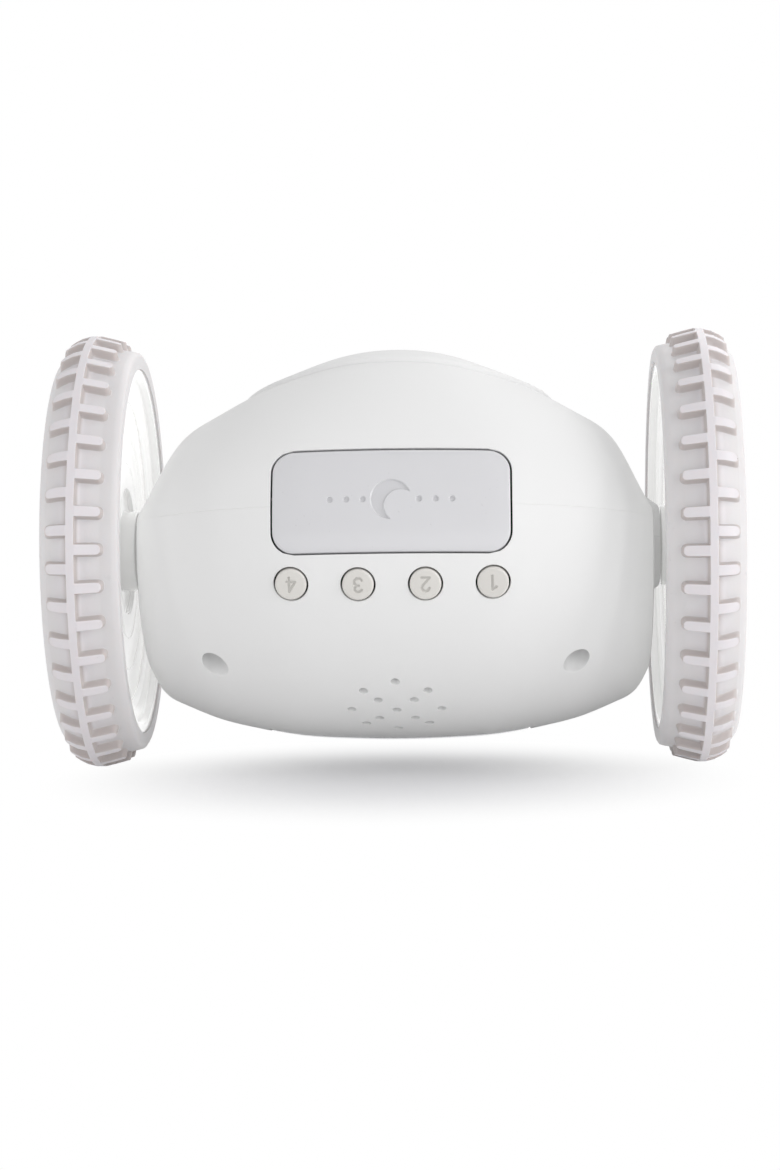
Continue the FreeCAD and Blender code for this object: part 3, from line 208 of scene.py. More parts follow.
def tyrePlastic():
    # soft white plastic with painted shade, greyer in the grooves and darker on the lug walls, with
    # scuffs and grit on the lugs
    look = {"top": rgb(0.705, 0.676, 0.702), "groove": rgb(0.650, 0.634, 0.640),
            "scuff": rgb(0.16, 0.13, 0.12), "wall": rgb(0.51, 0.465, 0.455), "rough": 0.42,
            "grooveTo": 0.0410, "lugFrom": 0.0436, "inner": (0.0551, 0.0556),
            "outer": (0.0666, 0.0670)}
    g = Graph("tyreSoftPlastic")
    where, back, up, reach = g.fromAxle()
    height = g.step(reach, look["grooveTo"], look["lugFrom"])
    cloud = g.step(g.noise(75.0, 5.0, 0.6), 0.32, 0.72)
    # painted shade: the grooves take a greyer tone than the lug tops
    tone = g.blend(height, look["groove"], look["top"])
    tone = g.blend(cloud * 0.16, tone, shade(look["top"], 0.90))
    grime = g.step(g.noise(420.0, 6.0, 0.72), 0.60, 0.78) * (1.0 - height) * 0.30
    tone = g.blend(grime, tone, shade(look["groove"], 0.62))
    # painted shade: the steep walls round the lugs take a darker colour
    turned = g.node("ShaderNodeTexCoord", output="Normal")
    facing = (g.part(turned, 1) * back + g.part(turned, 2) * up) / reach
    side = g.size(g.part(where, 0))
    tread = g.step(side, *look["inner"]) * (1.0 - g.step(side, *look["outer"]))
    tone = g.blend((1.0 - g.step(facing, 0.45, 0.90)) * tread, tone, look["wall"])
    nick = g.step(g.noise(640.0, 3.0, 0.6), 0.765, 0.80) * g.step(g.noise(26.0, 2.0), 0.50, 0.62)
    tone = g.blend(nick * 0.75, tone, look["scuff"])
    roughness = look["rough"] + 0.18 * g.noise(300.0, 4.0) + 0.1 * grime
    normal = g.bump(g.noise(900.0, 4.0, 0.6), 0.00003)
    return g.close(Base_Color=tone, Roughness=roughness, Normal=normal,
                   Subsurface_Weight=0.12, Subsurface_Radius=(0.004, 0.0025, 0.002),
                   Subsurface_Scale=0.5, Coat_Weight=0.12, Coat_Roughness=0.3)


def dishPlastic():
    # glossy white with the fine turned rings of its mould, a painted shade in its middle and a
    # painted glow on its inner side
    look = {"tone": rgb(0.860, 0.860, 0.855), "shadowed": rgb(0.70, 0.695, 0.69),
            "rings": 1500.0 * 6.283, "recess": (0.0126, 0.0131), "glowArea": (0.0575, 0.0585),
            "glow": rgb(0.23, 0.23, 0.227), "hub": 0.66, "hubGlowFade": (0.0125, 0.0185)}
    g = Graph("wheelDishPlastic")
    where, back, up, reach = g.fromAxle()
    rings = g.node("ShaderNodeMath", {"operation": "SINE"}, {0: reach * look["rings"]})
    middle = 1.0 - g.step(reach, *look["recess"])
    cloud = g.step(g.noise(60.0, 4.0), 0.35, 0.7)
    tone = g.blend(cloud * 0.05, look["tone"], shade(look["tone"], 0.8))
    tone = g.blend(middle * 0.35, tone, look["shadowed"])
    normal = g.bump(rings, 0.0000016)
    # painted light: the dish and stub inside the wheel glow, less towards the hub
    glowArea = 1.0 - g.step(g.size(g.part(where, 0)), *look["glowArea"])
    glowArea = glowArea * (look["hub"] + (1.0 - look["hub"]) * g.step(reach, *look["hubGlowFade"]))
    through = g.blend(glowArea, rgb(0, 0, 0), look["glow"])
    return g.close(Base_Color=tone, Roughness=0.13 + 0.06 * g.noise(240.0), Normal=normal,
                   Coat_Weight=0.4, Coat_Roughness=0.04, Emission_Color=through,
                   Emission_Strength=1.0)


def circuitBoard():
    # green resist over copper tracks, with tinned pads
    look = {"resist": rgb(0.010, 0.085, 0.030), "track": rgb(0.020, 0.190, 0.060),
            "pad": rgb(0.62, 0.60, 0.56)}
    g = Graph("circuitBoard")
    where = g.place()
    cells = g.node("ShaderNodeTexVoronoi", {"feature": "DISTANCE_TO_EDGE", "distance": "MANHATTAN"},
                   {"Vector": where, "Scale": 420.0})
    tracks = 1.0 - g.step(cells, 0.05, 0.11)
    pads = 1.0 - g.step(g.node("ShaderNodeTexVoronoi", inputs={"Vector": where, "Scale": 260.0}),
                        0.16, 0.22)
    tone = g.blend(tracks * 0.6, look["resist"], look["track"])
    tone = g.blend(pads, tone, look["pad"])
    return g.close(Base_Color=tone, Metallic=pads * 0.9, Roughness=0.34 + 0.1 * g.noise(500.0),
                   Normal=g.bump(tracks + pads, 0.00003))


def displayGlass():
    # reflective display: grey green with a faint grid of its cells
    look = {"field": rgb(0.300, 0.345, 0.270), "cells": rgb(0.245, 0.290, 0.225),
            "cloud": rgb(0.335, 0.380, 0.300)}
    g = Graph("displayGlass")
    where = g.place()
    grid = g.node("ShaderNodeTexVoronoi", {"distance": "CHEBYCHEV"},
                  {"Vector": where, "Scale": 900.0, "Randomness": 0.0})
    tone = g.blend(g.step(grid, 0.40, 0.5) * 0.2, look["field"], look["cells"])
    tone = g.blend(g.step(g.noise(45.0), 0.3, 0.7) * 0.25, tone, look["cloud"])
    return g.close(Base_Color=tone, Roughness=0.20 + 0.05 * g.noise(800.0), Coat_Weight=0.5,
                   Coat_Roughness=0.03, Normal=g.bump(grid, 0.000004))


def clearPlastic():
    g = Graph("clearPlastic")
    smear = g.step(g.noise(90.0, 5.0, 0.6), 0.5, 0.75)
    tone = g.blend(smear, rgb(0.97, 0.985, 0.98), rgb(0.93, 0.95, 0.95))
    return g.close(Base_Color=tone, Roughness=0.015 + 0.05 * smear, Transmission_Weight=0.96,
                   IOR=1.49, Normal=g.bump(g.noise(400.0, 2.0), 0.000002))


def cellSleeve():
    # printed sleeve: charcoal with a copper band at one end, no lettering
    look = {"sleeve": rgb(0.030, 0.032, 0.036), "band": rgb(0.50, 0.25, 0.10),
            "rubbed": rgb(0.22, 0.22, 0.22), "end": rgb(0.72, 0.72, 0.71),
            "bandFrom": (0.0105, 0.0107), "endFrom": (0.02165, 0.0218)}
    g = Graph("cellSleeve")
    along = g.part(g.place(), 0)
    tone = g.blend(g.step(along, *look["bandFrom"]), look["sleeve"], look["band"])
    tone = g.blend(g.step(g.noise(700.0, 3.0), 0.68, 0.76) * 0.4, tone, look["rubbed"])
    ends = g.step(g.size(along), *look["endFrom"])
    tone = g.blend(ends, tone, look["end"])
    return g.close(Base_Color=tone, Metallic=0.35 + 0.6 * ends,
                   Roughness=0.26 + 0.1 * g.noise(300.0), Coat_Weight=0.3,
                   Normal=g.bump(g.noise(1200.0), 0.000004))


def windings():
    # enamelled copper wire in close turns
    g = Graph("copperWindings")
    turns = g.node("ShaderNodeTexWave", {"bands_direction": "X"}, {
        "Vector": g.place(), "Scale": 900.0, "Distortion": 0.8, "Detail": 1.0})
    tone = g.blend(g.step(turns, 0.2, 0.8), rgb(0.30, 0.10, 0.035), rgb(0.80, 0.36, 0.16))
    return g.close(Base_Color=tone, Metallic=0.85, Roughness=0.34 + 0.1 * g.noise(500.0),
                   Normal=g.bump(turns, 0.00008))


# painted shade: the snooze bar takes a darker white than the housing
barWhite = moulded("snoozeBarWhite", rgb(0.640, 0.638, 0.658), rough=0.15, coat=0.3, cloud=0.012)
capWhite = moulded("hubCapWhite", rgb(0.750, 0.748, 0.745), rough=0.14)
creamTop = moulded("buttonCream", rgb(0.680, 0.662, 0.632), rough=0.30, coat=0.05, peel=0.00001)
glyphGrey = moulded("glyphGrey", rgb(0.53, 0.515, 0.49), rough=0.45, coat=0.0)
markShade = moulded("pressedMark", rgb(0.600, 0.598, 0.618), rough=0.2, coat=0.2)
faceWhite = moulded("facePlateWhite", rgb(0.752, 0.752, 0.754), rough=0.12, coat=0.4)
maskBlack = moulded("displayMask", rgb(0.012, 0.012, 0.014), rough=0.42, coat=0.0, peel=0.00002)
inkBlack = moulded("segmentInk", rgb(0.018, 0.020, 0.022), rough=0.35, coat=0.0)
trayWhite = moulded("trayPlastic", rgb(0.66, 0.66, 0.65), rough=0.36, coat=0.0, peel=0.00002)
switchBlack = moulded("switchBlack", rgb(0.028, 0.028, 0.030), rough=0.40, coat=0.0)
chipBlack = moulded("chipBlack", rgb(0.022, 0.022, 0.024), rough=0.55, coat=0.0, peel=0.00002)
coneFilm = moulded("coneFilm", rgb(0.055, 0.052, 0.050), rough=0.50, coat=0.1, peel=0.00003)
stripRubber = moulded("stripRubber", rgb(0.20, 0.19, 0.19), rough=0.62, coat=0.0, peel=0.00002)
lightPanel = moulded("lightPanel", rgb(0.60, 0.66, 0.58), rough=0.40, coat=0.1)
gearAcetal = moulded("gearAcetal", rgb(0.70, 0.68, 0.62), rough=0.38, coat=0.0, peel=0.00001)
bushAcetal = moulded("bushAcetal", rgb(0.62, 0.60, 0.55), rough=0.34, coat=0.1)
magnetDark = metal("magnetFerrite", rgb(0.075, 0.073, 0.072), rough=0.50, tarnish=0.5)
steelBright = metal("steelBright", rgb(0.60, 0.60, 0.595), rough=0.26)
steelDull = metal("steelDull", rgb(0.42, 0.41, 0.40), rough=0.36, tarnish=0.5)
brass = metal("brass", rgb(0.66, 0.47, 0.20), rough=0.26)
tyreSoft = tyrePlastic()
wheelDish = dishPlastic()
boardGreen = circuitBoard()
glassGreen = displayGlass()
clearLens = clearPlastic()
sleeveDark = cellSleeve()
copper = windings()
print("finishes ready:", len(bpy.data.materials))


# ---- mesh helpers

def gridFaces(rows, columns, start=0, wrapRows=False, wrapColumns=False, flip=False):
    r = np.arange(rows if wrapRows else rows - 1)
    c = np.arange(columns if wrapColumns else columns - 1)
    a = (r[:, None] * columns + c[None, :])
    b = (r[:, None] * columns + (c[None, :] + 1) % columns)
    d = (((r[:, None] + 1) % rows) * columns + c[None, :])
    e = (((r[:, None] + 1) % rows) * columns + (c[None, :] + 1) % columns)
    quads = np.stack([a, d, e, b] if flip else [a, b, e, d], axis=-1).reshape(-1, 4) + start
    return quads.tolist()


def addObject(name, data):
    made = bpy.data.objects.new(name, data)
    bpy.context.scene.collection.objects.link(made)
    return made


def makeMesh(name, points, faces, rolling=False):
    # points in mm; a rolling piece isn't leaned back with the body
    mesh = bpy.data.meshes.new(name)
    mesh.from_pydata(toFloor(points, rolling).reshape(-1, 3).tolist(), [], faces)
    mesh.update()
    return addObject(name, mesh)


def finishPiece(piece, body, materials, replaced=(), sharp=40.0, smooth=True):
    mesh = piece.data
    mesh.validate(clean_customdata=False)
    if smooth:
        mesh.shade_smooth()
        mesh.set_sharp_from_angle(angle=math.radians(sharp))
    for material in materials:
        if material.name not in [m.name for m in mesh.materials if m]:
            mesh.materials.append(material)
    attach(piece, body)
    if replaced:
        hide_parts(*replaced)
    return piece


def applied(piece):
    # the piece with its modifiers worked into its mesh
    graph = bpy.context.evaluated_depsgraph_get()
    mesh = bpy.data.meshes.new_from_object(piece.evaluated_get(graph))
    old = piece.data
    piece.modifiers.clear()
    piece.data = mesh
    bpy.data.meshes.remove(old)
    return piece


def joined(name, parts):
    # several closed meshes as one object
    points, faces = [], []
    for part in parts:
        start = len(points)
        points += [v.co.copy() for v in part.data.vertices]
        faces += [[start + i for i in f.vertices] for f in part.data.polygons]
        bpy.data.objects.remove(part)
    mesh = bpy.data.meshes.new(name)
    mesh.from_pydata(points, [], faces)
    return addObject(name, mesh)


def combine(piece, tool, operation):
    change = piece.modifiers.new(operation, "BOOLEAN")
    change.operation = operation
    change.solver = "MANIFOLD"
    change.object = tool
    applied(piece)
    bpy.data.objects.remove(tool)
    return piece


def roundedPath(corners, steps=5):
    # (x, r, radius) corners of a closed outline, each turned into a small arc
    path, count = [], len(corners)
    for index, (x, r, radius) in enumerate(corners):
        here = Vector((x, r))
        before = Vector(corners[index - 1][:2]) - here
        after = Vector(corners[(index + 1) % count][:2]) - here
        if radius <= 0:
            path.append((x, r))
            continue
        turn = before.angle(after)
        cut = min(radius / math.tan(turn / 2), 0.45 * before.length, 0.45 * after.length)
        first = here + before.normalized() * cut
        last = here + after.normalized() * cut
        for k in range(steps + 1):
            t = k / steps
            point = first * (1 - t) ** 2 + here * 2 * t * (1 - t) + last * t ** 2
            path.append((point.x, point.y))
    return path


def lathe(name, path, side, count=192):
    # a closed (x, r) outline turned about the axle, on the side that is 1 or -1
    turns = np.linspace(0, 2 * math.pi, count, endpoint=False)
    rings = []
    for x, r in path:
        rings.append(np.stack([np.full(count, x * side), r * np.cos(turns), r * np.sin(turns)], -1))
    points = np.stack(rings)
    faces = gridFaces(len(path), count, wrapRows=True, wrapColumns=True, flip=side < 0)
    return makeMesh(name, points.reshape(-1, 3), faces, rolling=True)


# ---- the oval body

bodyForm = {
    "halfLength": 51.3, "centreY": 4.35, "near": 46.1, "far": 39.5, "crown": 40.7, "belly": 38.8,
    "stations": ((0.0, 1.0, 1.0), (0.22, 0.993, 0.963), (0.40, 0.976, 0.878),
                 (0.58, 0.932, 0.777), (0.74, 0.877, 0.660), (0.87, 0.806, 0.515),
                 (0.955, 0.732, 0.270), (1.0, 0.625, 0.150)),
    "wall": 2.0, "neckRadius": 8.2, "neckEnd": 53.5, "neckRoot": (48.6, 11.8), "neckFillet": 0.7,
    "neckFrom": 46, "boreRadius": 3.2, "seamDepth": 0.10, "seamReach": 0.16, "almostEnd": 0.997,
    "endShares": (0.035, 0.10, 0.22, 0.38, 0.56, 0.74, 0.90, 1.0), "endBulge": 0.22,
    "footRows": ((51.48, 0.25), (51.72, 0.06), (52.0, 0.0), (52.6, 0.0)),
    "columns": 190, "rows": 190, "innerRows": 90, "tiny": (0.0, 0.0012, 0.0024, 0.0040, 0.0075),
}


def curveThrough(knots, values, at):
    # natural cubic spline
    n, h = len(knots), np.diff(knots)
    matrix, right = np.eye(n), np.zeros(n)
    for i in range(1, n - 1):
        matrix[i, i - 1:i + 2] = h[i - 1], 2 * (h[i - 1] + h[i]), h[i]
        right[i] = 6 * ((values[i + 1] - values[i]) / h[i] - (values[i] - values[i - 1]) / h[i - 1])
    bend = np.linalg.solve(matrix, right)
    i = np.clip(np.searchsorted(knots, at) - 1, 0, n - 2)
    a = (knots[i + 1] - at) / h[i]
    b = (at - knots[i]) / h[i]
    return (a * values[i] + b * values[i + 1]
            + ((a ** 3 - a) * bend[i] + (b ** 3 - b) * bend[i + 1]) * h[i] ** 2 / 6)


stationTable = np.array([(-s, g, c) for s, g, c in bodyForm["stations"][:0:-1]]
                        + list(bodyForm["stations"]))


def bodyRows(at, inset=0.0):
    # at runs from 0 on the left end to 1 on the right end
    f = bodyForm
    x = stationTable[:, 0] * (f["halfLength"] - inset)
    axes = np.stack([f[name] * stationTable[:, column] - inset
                     for name, column in (("near", 1), ("far", 1), ("crown", 2), ("belly", 1))])
    spread = (np.diff(axes, axis=1) ** 2).mean(axis=0) * 0.5
    knots = np.concatenate([[0], np.cumsum(np.sqrt(np.diff(x) ** 2 + spread))])
    where = np.asarray(at) * knots[-1]
    return curveThrough(knots, x, where), [curveThrough(knots, a, where) for a in axes]


def neckRadiusAt(x):
    f = bodyForm
    root, wide = f["neckRoot"]
    share = (f["neckEnd"] - np.abs(x)) / (f["neckEnd"] - root)
    return f["neckRadius"] + (wide - f["neckRadius"]) * share


def bodyGrid(at, angles, inset=0.0):
    x, (near, farSide, crown, belly) = bodyRows(at, inset)
    c, s = np.cos(angles)[None, :], np.sin(angles)[None, :]
    y = bodyForm["centreY"] + c * np.where(c > 0, farSide[:, None], near[:, None])
    z = s * np.where(s > 0, crown[:, None], belly[:, None])
    x = np.broadcast_to(x[:, None], y.shape)
    if not inset:
        # the neck's cone grows out of the body with a small fillet
        reach, cone = np.hypot(y, z), neckRadiusAt(x)
        share = np.clip(0.5 + 0.5 * (cone - reach) / bodyForm["neckFillet"], 0, 1)
        wide = towards(reach, cone, share) + bodyForm["neckFillet"] * share * (1 - share)
        scale = np.where(np.abs(x) > bodyForm["neckFrom"], wide / np.maximum(reach, 0.001), 1)
        y, z = y * scale, z * scale
    return np.stack([x, y, z], axis=-1)


def ringRow(x, radius, angles):
    return np.stack([np.full(len(angles), x), radius * np.cos(angles),
                     radius * np.sin(angles)], -1)


def towards(a, b, f):
    return a * (1 - f) + b * f


def rightEnd(angles):
    # rows from the rim of the body's end to the bore of its neck
    f = bodyForm
    rim = bodyGrid(np.array([1.0]), angles)[0]
    edge = bodyGrid(np.array([f["almostEnd"]]), angles)[0]
    around = np.arctan2(rim[:, 2], rim[:, 1])
    spare = np.hypot(rim[:, 1], rim[:, 2]) - neckRadiusAt(f["halfLength"])
    spare = np.clip(spare / 4.0, 0, 1)
    x = f["halfLength"] + 0.05
    foot = ringRow(x, neckRadiusAt(x) + 0.6 * spare, around)
    rows = [towards(edge, rim, 0.55) - np.array([0.01, 0, 0])]
    for share in f["endShares"]:
        row = towards(rim, foot, share)
        row[:, 0] += f["endBulge"] * math.sin(math.pi * share) * spare
        rows.append(row)
    r, end, bore = f["neckRadius"], f["neckEnd"], f["boreRadius"]
    for x, extra in f["footRows"] + ((end - 0.26, 0.0),):
        rows.append(ringRow(x, neckRadiusAt(x) + extra * spare, around))
    for x, radius in ((end - 0.07, r - 0.02), (end, r - 0.17), (end, bore + 0.15),
                      (end - 0.15, bore)):
        rows.append(ringRow(x, radius, around))
    return rows


def mirroredRows(rows):
    return [row * np.array([-1, 1, 1]) for row in rows[::-1]]


def bodyShell(name, first, last):
    # one half of the housing, between two angles round the body, closer rows at its edges
    f = bodyForm
    reach, tiny = last - first, np.array(f["tiny"])
    middle = np.linspace(0.018, reach - 0.018, f["columns"])
    angles = first + np.concatenate([tiny, middle, (reach - tiny)[::-1]])
    at = np.concatenate([[0.003], np.linspace(0.012, 0.988, f["rows"]), [f["almostEnd"]]])
    ends = rightEnd(angles)
    outer = np.array(mirroredRows(ends) + list(bodyGrid(at, angles)) + ends)
    fade = np.clip(1 - np.abs(outer[..., 2]) / f["seamReach"], 0, 1) ** 2
    outer[..., 1] -= np.sign(outer[..., 1] - f["centreY"]) * f["seamDepth"] * fade
    inner = list(bodyGrid(np.linspace(0.0, 1.0, f["innerRows"]), angles, f["wall"]))
    bore = ringRow(f["halfLength"] - f["wall"], f["boreRadius"], angles)
    inner = mirroredRows([bore]) + inner + [bore]
    rows = np.concatenate([outer, np.array(inner)[::-1]])
    count = len(angles)
    faces = gridFaces(len(rows), count, wrapRows=True)
    faces.append([i * count for i in range(len(rows))])
    faces.append([i * count + count - 1 for i in range(len(rows))][::-1])
    return makeMesh(name, rows.reshape(-1, 3), faces)


# the whole form in one fine grid, for ray casts and for smooth normals
fineGrid = {"columns": 640, "rows": 460}
roundAngles = np.linspace(0, 2 * math.pi, fineGrid["columns"], endpoint=False)
roundEnd = rightEnd(roundAngles)[:len(bodyForm["endShares"]) + 1]
reference = np.concatenate([np.array(mirroredRows(roundEnd)),
                            bodyGrid(np.linspace(0.001, 0.999, fineGrid["rows"]), roundAngles),
                            np.array(roundEnd)])
referenceFaces = gridFaces(len(reference), len(roundAngles), wrapColumns=True)
reference = reference.reshape(-1, 3)
bodyTree = BVHTree.FromPolygons([tuple(p) for p in reference], referenceFaces)
print("body form ready")

castFrom = 150   # mm from the axle, well outside the body
leastLean = 0.35   # where the surface lies nearly along the cast


def onBody(points, outward, depth):
    # the points dropped on to the body against outward, then sunk by depth
    out = Vector(outward)
    placed = []
    for p in points:
        hit, normal = bodyTree.ray_cast(Vector(p) + out * castFrom, -out)[:2]
        lean = max(leastLean, abs(normal.dot(out)))
        placed.append(hit - out * (depth / lean))
    return np.array(placed)


# ---- patches: a grid laid in an outline, with its edge carried down to form a solid

def discMap(u, v):
    # square to disc
    wide = np.abs(u) > np.abs(v)
    big, small = np.where(wide, u, v), np.where(wide, v, u)
    turn = (math.pi / 4) * small / np.where(big == 0, 1, big)
    x, y = big * np.cos(turn), big * np.sin(turn)
    return np.where(wide, x, y), np.where(wide, y, x)


class Outline:
    # a round or a rounded rectangle, in the plane across outward
    def __init__(self, centre, outward, side, half, corner=None, bodied=True):
        self.centre, self.outward, self.side = Vector(centre), Vector(outward), Vector(side)
        self.half, self.corner, self.bodied = half, corner, bodied
        self.up = self.outward.cross(self.side)

    def flat(self, u, v, grow):
        length, height = self.half[0] + grow, self.half[1] + grow
        if self.corner is None:
            p, q = discMap(u, v)
            return p * length, q * height
        corner = self.corner + grow
        q = v * height
        past = np.clip(np.abs(q) - (height - corner), 0, corner)
        return u * (length - corner + np.sqrt(corner ** 2 - past ** 2)), q

    def lay(self, u, v, grow, depth):
        p, q = self.flat(u, v, grow)
        c, s, t, o = (np.array(w) for w in (self.centre, self.side, self.up, self.outward))
        points = c + p[:, None] * s + q[:, None] * t
        if self.bodied:
            return onBody(points, self.outward, depth), p, q
        return points - o * depth, p, q


class DoorOutline:
    # the part of the body between two x values and two angles round it
    def __init__(self, half, nearY, topZ):
        self.half, self.nearY, self.topZ = half, nearY, topZ

    def lay(self, u, v, grow, depth):
        f = bodyForm
        x = u * (self.half + grow)
        table = np.linspace(0, 1, 900)
        xs, axes = bodyRows(table, depth)
        near, farSide, crown, belly = (np.interp(x, xs, a) for a in axes)
        low = np.arccos(np.clip((self.nearY - grow - f["centreY"]) / farSide, -1, 1))
        high = np.arcsin(np.clip(-(self.topZ + grow) / belly, -1, 1))
        turn = -(low + (high - low) * (v + 1) / 2)
        y = f["centreY"] + np.cos(turn) * np.where(np.cos(turn) > 0, farSide, near)
        return np.stack([x, y, np.sin(turn) * belly], -1), x, v


def edgeLoop(rows, columns):
    # grid indices round the border, in order
    loop = [(0, j) for j in range(columns)]
    loop += [(i, columns - 1) for i in range(1, rows)]
    loop += [(rows - 1, j) for j in range(columns - 2, -1, -1)]
    loop += [(i, 0) for i in range(rows - 2, 0, -1)]
    return [i * columns + j for i, j in loop]


def bandFaces(a, b):
    # quads between two loops of one length
    nextA, nextB = a[1:] + a[:1], b[1:] + b[:1]
    return [list(quad) for quad in zip(a, b, nextB, nextA)]


def patch(name, outline, us, vs, levels, press=None, materials=()):
    # levels are (grow, depth) from the top face to the under face
    u, v = (w.ravel() for w in np.meshgrid(us, vs))
    curved = isinstance(outline, DoorOutline)
    top, p, q = outline.lay(u, v, *levels[0])
    if press:
        pressed = press(p, q, top)
        if curved:
            down = outline.lay(u, v, levels[0][0], levels[0][1] + 1.0)[0] - top
        else:
            down = -np.array(outline.outward)
        top = top + down * pressed[:, None]
    loop = edgeLoop(len(vs), len(us))
    points, total = [top], len(top)
    faces = gridFaces(len(vs), len(us))
    rings = [loop]
    for grow, depth in levels[1:]:
        points.append(outline.lay(u[loop], v[loop], grow, depth)[0])
        rings.append(list(range(total, total + len(loop))))
        total += len(loop)
    for a, b in zip(rings[:-1], rings[1:]):
        faces += bandFaces(a, b)
    if curved:
        # a curved under face needs a grid of its own
        points.append(outline.lay(u, v, *levels[-1])[0])
        faces += gridFaces(len(vs), len(us), total, flip=True)
        faces += bandFaces(rings[-1], [total + k for k in loop])
    else:
        faces.append(rings[-1][::-1])
    piece = makeMesh(name, np.concatenate(points), faces)
    orient(piece)
    for material in materials:
        piece.data.materials.append(material)
    if len(materials) > 1:
        # the second material where the press is deep
        deep = pressed > 0.5 * pressed.max()
        for face in piece.data.polygons:
            if all(k < len(deep) and deep[k] for k in face.vertices):
                face.material_index = 1
    return piece


def orient(piece):
    # doubled points merged and faces turned outward
    work = bmesh.new()
    work.from_mesh(piece.data)
    bmesh.ops.remove_doubles(work, verts=work.verts, dist=1e-9)
    bmesh.ops.recalc_face_normals(work, faces=work.faces)
    if work.calc_volume(signed=True) < 0:
        bmesh.ops.reverse_faces(work, faces=work.faces)
    work.to_mesh(piece.data)
    work.free()


def edgeFillet(radius, steps=4):
    # (grow, depth) rows of a rounded outer edge
    rows = []
    for k in range(steps + 1):
        turn = math.pi / 2 * k / steps
        rows.append((-radius * (1 - math.sin(turn)), radius * (1 - math.cos(turn))))
    return rows


def openingLevels(radius, depth, lift=0.0, steps=4):
    # (grow, depth) rows of a tool that starts above the surface and cuts a rounded rim
    rows = [(radius * 1.02, lift - 1.6), (radius * 1.02, lift - 0.01)]
    for k in range(1, steps + 1):
        turn = math.pi / 2 * k / steps
        rows.append((radius * (1 - math.sin(turn)), lift + radius * (1 - math.cos(turn))))
    return rows + [(0.0, lift + depth)]


def even(count):
    return np.linspace(-1, 1, count)


def cutter(name, outline, radius, depth, lift=0.0, density=(25, 25)):
    return patch(name, outline, even(density[0]), even(density[1]),
                 openingLevels(radius, depth, lift))


# ---- housing

xAxis, zAxis = (1, 0, 0), (0, 0, 1)
snoozeBar = {"half": (23.0, 10.1), "middle": 0.9, "corner": 4.2, "gap": 0.35, "edge": 0.32,
             "sunk": 0.05, "thickness": 3.4, "moonRadius": 3.9, "bite": (0.5, 0.35, 0.85),
             "pipRadius": 0.55, "pipXs": (11.8, 8.6, 5.4), "pressDepth": 0.35,
             "wallSoftness": 0.10, "marks": (12.6, 4.2), "grid": 0.1}
setButton = {"xs": (-19.5, -6.5, 6.5, 19.5), "z": -15.2, "angle": 26.0, "radius": 3.05,
             "hole": 3.375, "proud": 0.5, "edge": 0.42, "length": 3.6, "digitHeight": 2.7,
             "stroke": 0.24, "pressDepth": 0.22, "dome": 0.10, "settle": 0.08}
face = {"half": (33.0, 25.0), "gap": 0.1, "proud": 0.9, "recess": 0.8, "window": (20.0, 9.5),
        "windowCorner": 3.5, "lensThickness": 3.2, "display": (22.35, 12.35)}
faceButton = {"x": 27.2, "radius": 3.4, "gap": 0.3, "proud": 1.4, "edge": 0.5, "length": 4.2,
              "ring": (1.35, 0.24), "dot": 0.5, "dome": 0.12, "pressDepth": 0.2, "settle": 0.08}
screwWell = {"places": ((-35.7, -20.6), (-35.7, 27.0), (35.7, -20.6), (35.7, 27.0)),
             "radius": 2.55, "wall": 1.0, "top": -9.5}
soundHoles = {"radius": 0.875, "centreY": -13.3, "rings": ((5.05, 4, 45.0), (9.0, 8, 0.0))}
batteryDoor = {"half": 26.5, "nearY": 5.0, "topZ": -3.2, "gap": 0.3, "edge": 0.25, "thickness": 2.0,
               "gripRadius": 9.0, "gripDepth": 0.8, "ribs": (0.12, 1.3),
               "holeLevels": [(0.2, -1.2), (0.2, -0.01), (0.13, 0.01), (0.06, 0.06),
                              (0.015, 0.13), (0.0, 0.2), (0.0, 3.2)]}

turn = math.radians(setButton["angle"])
setOutward = (0.0, -math.cos(turn), -math.sin(turn))
bodyC = bodyForm["centreY"]


def setTop(x):
    # where a set button's axis leaves the body
    y = bodyC - bodyForm["near"] * math.sqrt(1 - (setButton["z"] / bodyForm["belly"]) ** 2)
    start = Vector((x, y, setButton["z"]))
    return bodyTree.ray_cast(start + Vector(setOutward) * castFrom, -Vector(setOutward))[0]


def faceTop(x):
    # where the body's face side is over the middle line
    return bodyTree.ray_cast(Vector((x, bodyC, castFrom)), Vector((0, 0, -1)))[0]


def onFace(x, half, corner=None):
    # an outline on the face side, x from its middle
    return Outline((x, bodyC, 0), zAxis, xAxis, half, corner)


def underneath(x, y, radius):
    # a round outline on the underside
    return Outline((x, y, 0), (0, 0, -1), xAxis, (radius,) * 2)


def grown(half, gap):
    # half sizes with the gap added
    return tuple(length + gap for length in half)


def faceButtonHole(side):
    # side is 1 or -1
    return onFace(side * faceButton["x"], (faceButton["radius"] + faceButton["gap"],) * 2)


snoozeAt = ((0, 0, snoozeBar["middle"]), (0, -1, 0), xAxis)
snoozeOutline = Outline(*snoozeAt, snoozeBar["half"], snoozeBar["corner"])
snoozeHole = Outline(*snoozeAt, grown(snoozeBar["half"], snoozeBar["gap"]),
                     snoozeBar["corner"] + snoozeBar["gap"])
faceOutline = onFace(0, face["half"])
facePocket = onFace(0, grown(face["half"], face["gap"]))
doorOutline = DoorOutline(batteryDoor["half"], batteryDoor["nearY"], batteryDoor["topZ"])
doorHole = DoorOutline(batteryDoor["half"] + batteryDoor["gap"],
                       batteryDoor["nearY"] - batteryDoor["gap"],
                       batteryDoor["topZ"] + batteryDoor["gap"])


def snoozeCutter():
    return cutter("snoozeCutter", snoozeHole, radius=0.22, depth=14.0, density=(71, 41))


